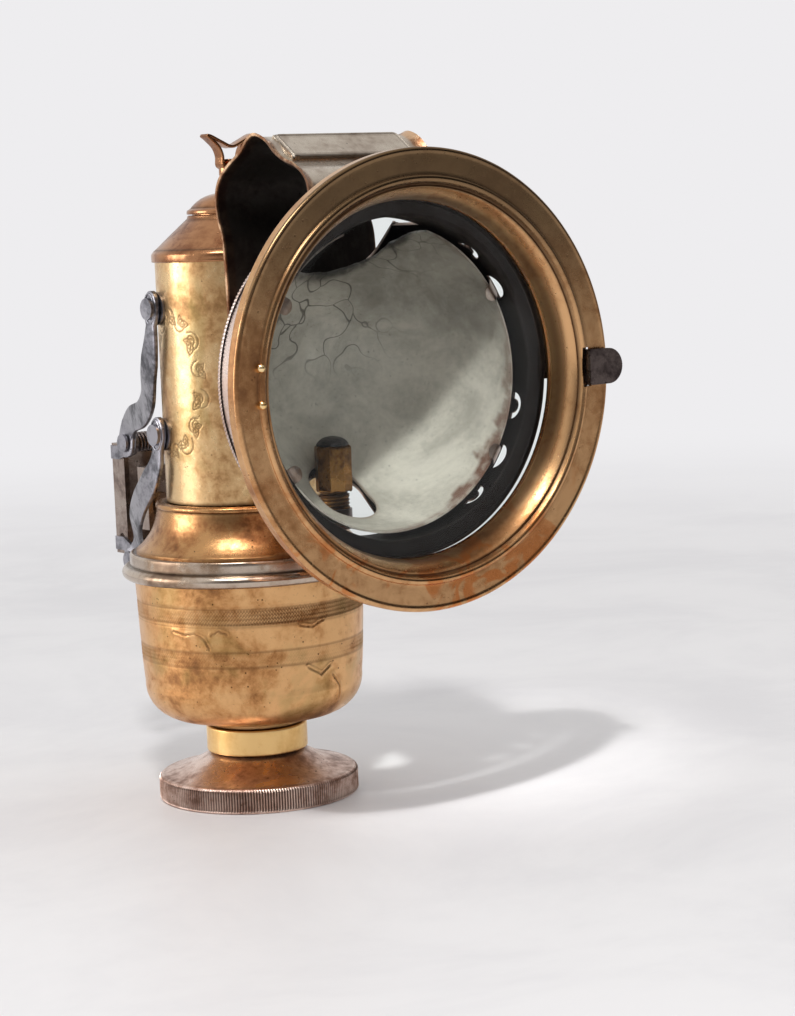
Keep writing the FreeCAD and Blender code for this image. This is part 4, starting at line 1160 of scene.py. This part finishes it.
def reflector():
    """Painted bowl with the chimney arch and the burner slot, chipped along its edge."""
    edge_r, edge_fwd, depth = 39.4, 72.6, 43.6
    arch_half, arch_rear = 13.0, 40.5
    slot_fwd, slot_r, slot_straight = 48.0, 7.5, 2.5

    def side(grow):
        angles = np.linspace(0, math.pi / 2, 47)
        return [((edge_r + grow) * math.sin(a), edge_fwd - (depth + grow) * math.cos(a)) for a in angles]

    points = np.array(side(0.5) + side(0.0)[::-1])

    def relief(r, fwd, a, normal):
        chip = np.clip(noise2(26 * np.cos(a), 26 * np.sin(a), 71) - 0.05, 0, 1)
        near = np.clip((fwd - edge_fwd + 1.2) / 1.2, 0, 1)
        inner = normal[:, :1] < 0
        ripple = noise2(4 * np.cos(a) * r / 40, 4 * np.sin(a) * r / 40, 72)
        return (0.08 * ripple - 0.16 * near * chip) * inner, 0 * r

    bowl = lathe("reflector_look", points, BOWL, lensward, segments=256, relief=relief, sharp=50)
    arch = prism("arch", rounded_slot(arch_half, arch_rear, 80, 0.45), LENS_Z, LENS_Z + 60, upward)
    loop = []
    for i in range(40):
        a = TURN * i / 40
        middle = slot_fwd + (slot_straight if math.sin(a) > 0 else -slot_straight)
        loop.append((slot_r * math.cos(a), middle + slot_r * math.sin(a)))
    slot = prism("slot", loop, LENS_Z - 60, LENS_Z - 5, upward)
    carve(bowl, [join("cutters", [arch, slot])])

    def rust(places, normals):
        x, fwd, z = places[:, X], -places[:, Y], places[:, Z] - LENS_Z
        angle = np.degrees(np.arctan2(z, x))
        rim = edge_fwd - fwd
        wander = 1.6 + 1.5 * noise2(x * 0.35, z * 0.35, 73)
        lower_right = hump(angle, -42, 42)
        wide = 0.7 + 2.1 * lower_right
        rusty = np.clip((wide * wander - rim) / 0.8, 0, 1)
        from_slot = np.hypot(x, np.maximum(0, np.abs(fwd - slot_fwd) - slot_straight))
        on_slot = hump(from_slot, slot_r, 0.45) * (z < -10)
        return np.clip(rusty * (0.35 + 0.65 * lower_right) + 0.5 * on_slot, 0, 1)

    def soot(places, normals):
        x, fwd, z = places[:, X], -places[:, Y], places[:, Z] - LENS_Z
        centre = arch_rear + arch_half
        gap = np.where(fwd < centre, np.hypot(x, fwd - centre), np.abs(x)) - arch_half
        wander = 1.5 * noise2(x * 0.3, fwd * 0.3 + z * 0.1, 74)
        near = np.clip((2.2 + wander - gap) / 1.8, 0, 1) * (z > 8)
        behind = np.clip((z - 24 + 0.45 * (x + 4) + 2.4 * wander) / 9, 0, 1) * 0.35
        return np.clip(np.maximum(near * 0.9, behind), 0, 0.92)

    paint(bowl, "rust", rust)
    paint(bowl, "soot", soot)
    stand_in(bowl, "reflector")


# Each point of a tongue's path: distance from the lens axis, distance forward.
TONGUE_PATH = [(DRUM_R - 0.5, VENT_FWD - 0.1), (41.0, 71.9), (39.6, 73.4), (38.2, 73.9), (36.6, 73.6)]


def reflector_clips():
    """Round-ended tongues bent in from the drum over the bowl's edge."""
    pieces = []
    for angle in CLIP_ANGLES:
        c, s = math.cos(math.radians(angle)), math.sin(math.radians(angle))
        path = smooth_path([(out * c, -fwd, LENS_Z + out * s) for out, fwd in TONGUE_PATH], 5)
        share = np.linspace(0, 1, len(path))
        width = np.where(share < 0.7, 1.0, np.sqrt(np.clip(1 - ((share - 0.7) / 0.3) ** 2, 0.03, 1)))
        scale = np.stack([width, np.ones_like(width)], -1)
        pieces.append(sweep("clip", path, slab(4.4, 0.45, 0.15), FINISH["drum"], up=(c * 0.3, -1, s * 0.3),
                            scale=scale))
    piece = join("reflector_clips_look", pieces)
    paint(piece, "dirt_and_shade", lambda places, normals: np.full(len(places), 0.35))
    stand_in(piece, "reflector_clips")


# ---- chimney hood -------------------------------------------------------------------------------
HOOD_OUTLINE = [(34.2, 137.5), (33.9, 148.0), (33.2, 158.0), (31.2, 163.6), (30.7, 168.4), (32.4, 173.0),
                (37.2, 176.8), (43.0, 179.9), (46.4, 182.7), (50.0, 183.9), (54.4, 182.2), (58.2, 178.9),
                (62.8, 176.5), (68.2, 174.7), (72.0, 171.6), (72.8, 167.4), (72.4, 160.0), (72.4, 150.0)]
HOOD_FOOT_Z = HOOD_OUTLINE[0][1]


def head_radius(fwd):
    """Outer radius of the head's back at a distance forward."""
    r, f = zip(*[p[:2] for p in outline(BACK_OUTLINE)])
    return np.interp(fwd, f, r)


def skin(name, top, bottom, material, sharp, marks):
    """A solid between two grids of places. Marks run over the top grid, then over the bottom grid."""
    rows, cols = top.shape[:2]
    offset = rows * cols
    index = np.arange(offset).reshape(rows, cols)
    quads = np.stack([index[:-1, :-1], index[1:, :-1], index[1:, 1:], index[:-1, 1:]], -1).reshape(-1, 4)
    faces = quads.tolist() + (quads[:, ::-1] + offset).tolist()
    border = [*index[:, 0], *index[-1, 1:], *index[-2::-1, -1], *index[0, -2:0:-1]]
    for a, b in zip(border, border[1:] + border[:1]):
        faces.append([b, a, a + offset, b + offset])
    verts = np.concatenate([top, bottom]).reshape(-1, 3)
    return make_mesh(name, verts, faces, material, sharp, marks)


def hood():
    """Ogee chimney hood, open at both ends, with flared lips and a sooty inside."""
    curve = smooth_path([(f, z, 0) for f, z in HOOD_OUTLINE], 24)[:, :2]
    run = lengths_along(curve)
    tangent = np.gradient(curve, axis=0)
    tangent /= np.linalg.norm(tangent, axis=1, keepdims=True)
    out = np.stack([-tangent[:, 1], tangent[:, 0]], -1)
    half_points = [0, 4, 8, 12, 16, 18, 20, 21, 21.6, 22.2, 22.8, 23.3, 23.8, 24.2, 24.5]
    across = [-x for x in half_points[:0:-1]] + half_points
    count, wall = 130, 0.75
    flare_from, flare_width = 21.3, 3.2
    middle = run[-1] * 0.5
    outer, inner = [], []
    for x in across:
        head_top = LENS_Z + np.sqrt(np.maximum(0, head_radius(curve[:, 0]) ** 2 - x * x))
        bottom = np.maximum(HOOD_FOOT_Z, head_top + 0.05)
        above = curve[:, 1] > bottom
        first = np.argmax(above)
        last = len(above) - 1 - np.argmax(above[::-1])
        stops = np.linspace(run[first], run[last], count)
        flare = np.clip((abs(x) - flare_from) / flare_width, 0, 1) ** 1.7
        forward = np.clip((stops - middle) / 12, 0, 1)
        rise = flare * (0.55 + 1.15 * forward) + 0.10 * noise2(np.full(count, x * 0.06), stops * 0.07, 81)
        spot, away = sample(curve, run, stops), sample(out, run, stops)
        for grid, height in ((outer, rise), (inner, rise - wall)):
            place = spot + away * height[:, None]
            grid.append(np.stack([np.full(count, x), -place[:, 0], place[:, 1]], -1))
    from_middle = np.repeat(np.abs(across), count)
    dirt_and_shade = 0.96 * np.clip((half_points[-1] + 0.1 - from_middle) / 0.5, 0, 1)
    lip = np.clip((from_middle - flare_from - 0.1) / 0.9, 0, 1)
    piece = skin("hood_look", np.array(outer), np.array(inner), FINISH["hood"], 50,
                 {"dirt_and_shade": np.concatenate([0 * dirt_and_shade, dirt_and_shade]), "lip": np.tile(lip, 2)})
    stand_in(piece, "hood")


def hood_plate():
    """Framed plate with engraved scrolls on the hood's front slope."""
    length, width = 39.0, 10.8
    top, foot_point = np.array([51.6, 184.0]), np.array([60.8, 177.9])
    down = (foot_point - top) / np.linalg.norm(foot_point - top)
    out = np.array([-down[1], down[0]])
    us = np.arange(-length / 2, length / 2 + 0.01, 0.26)
    ws = np.arange(0, width + 0.01, 0.24)
    u, w = np.meshgrid(us, ws, indexing="ij")
    corner = 1.6
    scroll_start, scroll_pitch, scroll_middle = -15.5, 3.9, width / 2
    du = np.maximum(0, np.abs(u) - (length / 2 - corner))
    dw = np.maximum(0, np.abs(w - width / 2) - (width / 2 - corner))
    to_edge = corner - np.hypot(du, dw)
    inner_edge = np.minimum(length / 2 - np.abs(u), width / 2 - np.abs(w - width / 2))
    to_edge = np.minimum(to_edge, inner_edge)
    bead = 0.34 * hump(to_edge, 0.55, 0.30) + 0.20 * hump(to_edge, 1.35, 0.22)
    gap = np.full(u.shape, 9.0)
    for k in range(9):
        at = scroll_start + scroll_pitch * k
        flip = 1 if k % 2 else -1
        for line in (spiral(at, scroll_middle + 0.8 * flip, 2.0, 40 * k, 400, flip),
                     spiral(at + 1.7, scroll_middle - flip, 1.2, 90, 300, -flip),
                     leaf(at + 1.0, scroll_middle, 2.2, 60 * flip)[0]):
            gap = np.minimum(gap, near_line(u, w, line))
    engraved = hump(gap, 0, 0.26) * (to_edge > 1.7)
    rise = np.where(to_edge > 0, 0.26 + bead - 0.24 * engraved, 0.02)
    dirt_and_shade = np.clip(engraved + 0.55 * hump(to_edge, 0.95, 0.16) + 0.6 * hump(to_edge, 0.1, 0.25), 0, 0.85)

    def surface(height):
        spot = top[None, None] + w[..., None] * down + height[..., None] * out
        return np.stack([u, -spot[..., 0], spot[..., 1]], -1)

    dirt_and_shade = np.concatenate([dirt_and_shade, 0 * dirt_and_shade])
    piece = skin("hood_plate_look", surface(rise + 0.25), surface(np.full(u.shape, -0.5)), FINISH["hood"], 60,
                 {"dirt_and_shade": dirt_and_shade})
    stand_in(piece, "hood_plate")


# ---- burner -------------------------------------------------------------------------------------
def about_burner(r, h, a):
    """Places (radius, height, angle) about the burner's upright axis."""
    return np.stack([r * np.cos(a), r * np.sin(a) - BURNER_FWD, h + 0 * a], -1)


def burner():
    """Eight-sided brass body on a threaded neck."""
    low, top = span("burner", Z)
    flats = 4.75 * math.cos(math.pi / 8)
    neck, scorch_z = 89.6, 98.5
    points = contour([(0, low), (4.1, low, 0.2), (4.1, neck - 0.8), (3.5, neck - 0.5), (3.6, neck, 0.2),
                      (flats + 0.2, neck + 0.3, 0.3), (flats + 0.3, top - 0.4, 0.3), (flats - 0.5, top),
                      (0, top)], 0.24, closed=False)

    def relief(r, h, a, normal):
        body = (h > neck + 0.2) & (r > 3.8)
        sector = (a % (TURN / 8)) - TURN / 16
        facet = flats / np.cos(sector) - flats
        cut = thread(h, a, 0.95) * band(h, low + 0.2, neck - 0.9, 0.2) * (r > 3.8)
        groove = (h < neck + 0.4) & (h > neck - 0.9)
        scorched = np.clip((h - scorch_z) / 3, 0, 1)
        dirt_and_shade = 0.75 * cut + 0.6 * groove + 0.3 * scorched
        return np.where(body, np.minimum(facet, 0.36), 0) - 0.5 * cut, np.clip(dirt_and_shade, 0, 0.85)

    turned("burner", points, "burner", "brass_burnt", place=about_burner, segments=128, relief=relief,
           sharp=24)


def burner_tip():
    """Domed ceramic tip with a gas hole."""
    low, top = span("burner_tip", Z)
    edge = span("burner_tip", X)[1]
    dome = contour([(0, low), (edge, low, 0.1), (edge, low + 0.5, 0.3),
                    ((edge * 0.72, top - 0.75), (1.3, top - 0.1)), (0.9, top, 0.2), (0.5, top - 0.5),
                    (0, top - 0.5)], 0.5, closed=False)
    turned("burner_tip", dome, "ceramic", "ceramic_burnt", place=about_burner, segments=48)


# ---- door ---------------------------------------------------------------------------------------
def bezel():
    """Wide door ring with a rolled edge, an inner ridge and a throat down to the glass."""
    face = DOOR_FWD - 0.9
    edge = DOOR_R
    seat_in, seat_out = GLASS_R + 0.1, GLASS_R + 0.9
    points = contour([(edge - 0.8, 86.2), (edge, 86.2, 0.2), (edge, 88.5, 0.2),
                      ((edge - 0.25, face + 0.1), (edge - 0.9, face + 0.35)), (edge - 1.5, face + 0.2, 0.4),
                      (51.8, face - 0.05, 0.6), ((50.7, face + 0.8), (49.8, face)), (49.3, face - 0.8, 0.3),
                      (48.7, face - 0.4, 0.3), ((46.9, 86.0), (45.7, 81.5)), (seat_in, 81.4), (seat_in, 80.0),
                      (seat_out, 80.0), (seat_out, 82.0), ((47.8, 86.0), (49.2, face - 1.8)),
                      (51.4, face - 1.1), (edge - 2.0, face - 0.9), (edge - 0.8, face - 1.6)],
                     0.8, rounding=5)

    def relief(r, fwd, a, normal):
        front = normal[:, 1:] > 0.2
        groove = hump(r, 49.25, 0.4) * (fwd > face - 1.5)
        ridge_foot = hump(r, 52.0, 0.45) * front
        throat = hump(r, 46.2, 0.7) * (fwd > 81.6)
        rise = dents(a, r, 91, 0.07, 20.0) * front
        worn = 0.4 + 0.6 * noise2(3 * np.cos(a), 3 * np.sin(a), 92)
        return rise, np.clip(0.75 * groove + 0.35 * ridge_foot * worn + 0.65 * throat, 0, 0.85)

    piece = lathe("bezel_look", points, FINISH["bezel"], lensward, segments=360, relief=relief, sharp=50)
    latch_slot = [(49.9, 84), (53.0, 84), (53.0, 92), (49.9, 92)]
    carve(piece, [prism("slot", latch_slot, LENS_Z - 5.2, LENS_Z + 5.2, upward)], 50)
    stand_in(piece, "bezel")


def lens_glass():
    """Flat lens, a hair smaller than its seat."""
    low, high = 80.62, 81.38
    radius = GLASS_R - 0.1
    points = contour([(0, low), (radius, low, 0.1), (radius, high, 0.1), (0, high)], 6.0, closed=False)
    piece = lathe("lens_glass_look", points, GLASS, lensward)
    stand_in(piece, "lens_glass")


def door_rivets():
    """Two ball-headed rivets."""
    radius = 1.15
    low, high = (np.array(corner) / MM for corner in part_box("door_rivets"))
    x, y = (low[X] + high[X]) / 2, low[Y] + radius
    ball = soften(outline([(0, -1.0), (1.0, -1.0, 0.2), ((radius, 0.0), (0, radius))]), closed=False)
    pieces = []
    for z in (low[Z] + radius, high[Z] - radius):
        def about_rivet(r, h, a, z=z):
            return np.stack([x + r * np.cos(a), y - h + 0 * a, z + r * np.sin(a)], -1)

        pieces.append(lathe("rivet", ball, FINISH["bright"], about_rivet, segments=32))
    stand_in(join("door_rivets_look", pieces), "door_rivets")


drum()
back_shell()
reflector()
reflector_clips()
hood()
hood_plate()
burner()
burner_tip()
bezel()
lens_glass()
door_rivets()


# ---- bracket ------------------------------------------------------------------------------------
STRAP_THICK = 1.5
STRAP_INSET = 0.03        # moves each strap slightly towards the middle plane
# Each point: distance out from the middle plane, Y, Z; from the front eye to the rear pin.
STRAP_LINES = {
    "upper": [(23.8, 6.5, 139.4), (23.8, 7.6, 131.0), (22.4, 12.4, 121.0), (19.4, 18.6, 113.6),
              (15.8, 28.4, 108.8), (12.0, 40.4, 106.4), (9.0, 48.2, 103.0), (9.0, 50.0, 98.6)],
    "lower": [(23.8, 6.5, 104.4), (23.8, 7.6, 97.4), (23.8, 12.0, 91.2), (21.4, 22.6, 84.0),
              (17.0, 33.2, 76.8), (9.0, 45.4, 67.6), (9.0, 50.0, 63.6)],
}


def lengthened(end, before, reach):
    """A point past the end of a path, straight on from the point before."""
    return end + (end - before) / np.linalg.norm(end - before) * reach


def strap_look(name, line, side):
    """Forged strap: an oval eye and a narrow neck in front, a broad body, a round eye behind."""
    front_eye, rear_eye, eye_half, neck, broad = 5.0, 4.3, 3.3, 2.1, 3.9
    path = smooth_path([(side * (x - STRAP_INSET), y, z) for x, y, z in line], 10)
    path = np.vstack([lengthened(path[0], path[1], front_eye), path,
                      lengthened(path[-1], path[-2], rear_eye)])
    gone = lengths_along(path)
    rounding = 1 - np.cos(np.linspace(0.05, math.pi / 2, 10))
    last = gone[-1] - rear_eye
    stops = np.unique(np.concatenate([front_eye * rounding, np.linspace(front_eye, last, 46),
                                      gone[-1] - rear_eye * rounding]))
    path = sample(path, gone, stops)
    ahead = stops - front_eye
    behind = last - stops
    front = eye_half * np.sqrt(np.clip(1 - (ahead / front_eye) ** 2, 0, 1))
    rear = rear_eye * np.sqrt(np.clip(1 - (behind / rear_eye) ** 2, 0, 1))
    body = np.interp(ahead, [0, 4.6, 8.0, 15.0], [0, neck, neck + 0.6, broad])
    body = np.where(behind > 0, body, 0)
    wide = np.maximum(np.maximum(front, rear), body)
    strip = sweep(name, path, slab(2, STRAP_THICK, 0.3), FINISH["iron"], up=(1, 0, 0),
                  scale=np.stack([wide, np.ones_like(wide)], -1))
    x, y, z = line[0]
    eye = [(side * (x - STRAP_INSET + STRAP_THICK / 2), y + 2.5 * math.sin(a), z + 4.2 * math.cos(a))
           for a in np.linspace(0, TURN, 40, endpoint=False)]
    ridge = sweep(name + "_eye", eye, circle(0.32, 8), FINISH["iron"], up=(1, 0, 0), closed=True)
    return join(name, [strip, ridge])


def springs():
    """Coils round the two rear pins."""
    coils = []
    turns, steps, half, radius = 11, 18, 6.1, 2.62
    for line in STRAP_LINES.values():
        _, y, z = line[-1]
        path = []
        for i in range(turns * steps + 1):
            a = TURN * i / steps
            along = 2 * half * i / (turns * steps) - half
            path.append((along, y + radius * math.cos(a), z + radius * math.sin(a)))
        coils.append(sweep("coil", path, circle(0.42, 8), FINISH["steel"], up=(1, 0, 0)))
    stand_in(join("springs_look", coils), "bracket_springs")


def screw():
    """Clamp screw with its thread and slotted head."""
    height = sum(span("clamp_screw", Z)) / 2
    near, far = span("clamp_screw", Y)

    def rearward(r, y, a):
        return np.stack([r * np.sin(a), y + 0 * a, height + r * np.cos(a)], -1)

    core_r, head_r = 1.88, 4.35
    points = contour([(0, near), (1.2, near), (core_r, near + 0.8), (core_r, far - 4.0),
                      (head_r, far - 3.7, 0.3), (head_r, far - 0.9, 0.6), (3.2, far - 0.05, 0.8),
                      (0, far - 0.05)], 0.22, closed=False)

    def relief(r, h, a, normal):
        cut = thread(h, a, 0.9) * (r < core_r + 0.07) * (r > 1.0)
        return -0.28 * cut, 0.6 * cut

    bolt = lathe("clamp_screw_look", points, FINISH["jaw"], place=rearward, segments=40, relief=relief)
    slot = prism("slot", [(-0.55, -6), (0.55, -6), (0.55, 6), (-0.55, 6)], far - 1.3, far + 1,
                 lambda u, v, w: (u, w, height + v))
    carve(bolt, [slot])
    stand_in(bolt, "clamp_screw")


def straps():
    """The four forged straps of the bracket."""
    for side, word in ((-1, "left"), (1, "right")):
        for level, line in STRAP_LINES.items():
            node = level + "_strap_" + word
            stand_in(strap_look(node + "_look", line, side), node)


straps()
springs()
screw()


# ---- stage, light and camera --------------------------------------------------------------------
BACKDROP = tone(238, 237, 239)
FLOOR_REACH = 3000            # from the origin to each side
FLOOR_FADE = (0.25, 1.1)      # metres from the origin: the floor's own look, the backdrop's colour
ROOM_WHITE = (1.0, 1.0, 1.0, 1.0)
ROOM_WARM = (0.55, 0.53, 0.52, 1.0)
ROOM_FILL = (0.88, 0.88, 0.89, 1.0)
ROOM_DIM = (0.20, 0.19, 0.19, 1.0)
ROOM_DARK = (0.03, 0.028, 0.03, 1.0)
ROOM_STRENGTH = 0.85


def stage_floor():
    """A pale floor whose colour runs into the backdrop far from the lamp."""
    s = Shader("floor_pale")
    fine = s.noise(9, 6.0, 0.65, 0.5)
    colour = s.mix(s.window(fine, 0.35, 0.7), tone(236, 234, 234), tone(226, 224, 225))
    s.put(s.surface.inputs["Base Color"], colour)
    s.surface.inputs["Roughness"].default_value = 0.5
    glow = s.node("ShaderNodeEmission", Color=BACKDROP)
    flat = s.node("ShaderNodeVectorMath", Vector=s.place)
    flat.operation = "LENGTH"
    seen = s.node("ShaderNodeLightPath").outputs["Is Camera Ray"]
    s.show(s.either(s.times(s.window(flat.outputs["Value"], *FLOOR_FADE), seen), s.surface, glow))
    corners = [(x * FLOOR_REACH, y * FLOOR_REACH, 0) for x, y in ((-1, -1), (1, -1), (1, 1), (-1, 1))]
    make_mesh("floor", corners, [(0, 1, 2, 3)], s.material)


def surroundings():
    """A white studio, darker on the camera's side in reflections; the camera sees the plain backdrop."""
    world = bpy.data.worlds.new("studio")
    bpy.context.scene.world = world
    world.use_nodes = True
    room = Nodes(world.node_tree)
    direction = room.node("ShaderNodeTexCoord").outputs["Generated"]

    def toward(x, y, z, low, high):
        """How far a direction lies towards (x, y, z), as a smooth step."""
        dot = room.node("ShaderNodeVectorMath")
        dot.operation = "DOT_PRODUCT"
        room.put(dot.inputs[0], direction)
        room.put(dot.inputs[1], Vector((x, y, z)).normalized())
        return room.window(dot.outputs["Value"], low, high)

    colour = room.mix(toward(-0.5, 0.7, 0.2, -0.6, 0.8), ROOM_WARM, ROOM_WHITE)
    colour = room.mix(toward(-0.5, -0.85, 0.12, 0.55, 0.95), colour, ROOM_DIM)
    colour = room.mix(toward(0.60, -0.78, 0.10, 0.62, 0.95), colour, ROOM_DARK)
    path = room.node("ShaderNodeLightPath")
    mirrored = room.mix(path.outputs["Is Glossy Ray"], ROOM_FILL, colour)
    lit = room.node("ShaderNodeBackground", Color=mirrored, Strength=ROOM_STRENGTH)
    seen = room.node("ShaderNodeBackground", Color=BACKDROP)
    both = room.either(path.outputs["Is Camera Ray"], lit, seen)
    room.node("ShaderNodeOutputWorld", Surface=both.outputs[0])


KEY_PLACE = (-0.55, -0.735, 1.10)
LAMP_MIDDLE = (0.02, -0.04, 0.09)
BOWL_MIDDLE = (0, -0.090, LENS_Z * MM)


def light(name, kind, place, target, power, glossy=True, diffuse=True, **shape):
    """A soft light, in metres and watts, that may leave out highlights or the rest."""
    data = bpy.data.lights.new(name, kind)
    data.energy = power
    for key, value in shape.items():
        setattr(data, key, value)
    lamp = bpy.data.objects.new(name, data)
    bpy.context.scene.collection.objects.link(lamp)
    lamp.location = place
    lamp.rotation_euler = (Vector(target) - Vector(place)).to_track_quat("-Z", "Y").to_euler()
    lamp.visible_glossy = glossy
    lamp.visible_diffuse = diffuse


def lights():
    """A key light, three that show in reflections only, and a narrow beam on the bowl."""
    light("key", "AREA", KEY_PLACE, LAMP_MIDDLE, 7.5, glossy=False, size=0.13)
    light("key_glint", "AREA", KEY_PLACE, LAMP_MIDDLE, 0.5, diffuse=False, size=0.30)
    light("left_card", "AREA", (-1.0, 0.55, 0.35), LAMP_MIDDLE, 6.0, diffuse=False, size=0.6)
    light("top_card", "AREA", (-0.45, -0.24, 1.10), LAMP_MIDDLE, 5.0, diffuse=False, size=0.36)
    light("bowl_beam", "SPOT", KEY_PLACE, BOWL_MIDDLE, 100.0, glossy=False, spot_size=math.radians(3.5),
          spot_blend=0.1, shadow_soft_size=0.05)


CAMERA_AZIMUTH, CAMERA_ELEVATION, CAMERA_ROLL = -35.94, 6.83, -2.32    # degrees
CAMERA_DISTANCE = 704.4       # along the view, from the upright axis
CAMERA_ASIDE, CAMERA_UP = 42.73, 80.13
SENSOR = 36
LENS_LENGTH = 88.17           # for the sensor's width along the picture's long side


def camera():
    """The camera, placed by its direction from the upright axis and rolled about its view."""
    azimuth, elevation, roll = (math.radians(v) for v in (CAMERA_AZIMUTH, CAMERA_ELEVATION, CAMERA_ROLL))
    back = Vector((math.sin(azimuth) * math.cos(elevation), -math.cos(azimuth) * math.cos(elevation),
                   math.sin(elevation)))
    right = Vector((math.cos(azimuth), math.sin(azimuth), 0))
    up = back.cross(right)
    place = right * CAMERA_ASIDE + Vector((0, 0, CAMERA_UP)) + back * CAMERA_DISTANCE
    across = right * math.cos(roll) + up * math.sin(roll)
    upward = up * math.cos(roll) - right * math.sin(roll)
    data = bpy.data.cameras.new("camera")
    data.lens = LENS_LENGTH
    data.sensor_width = SENSOR
    data.sensor_fit = "AUTO"
    data.clip_start = 0.01
    eye = bpy.data.objects.new("camera", data)
    bpy.context.scene.collection.objects.link(eye)
    turn = Matrix((across, upward, back)).transposed().to_4x4()
    eye.matrix_world = Matrix.Translation(place * MM) @ turn
    bpy.context.scene.camera = eye


stage_floor()
surroundings()
lights()
camera()
bpy.context.scene.view_settings.view_transform = "Standard"
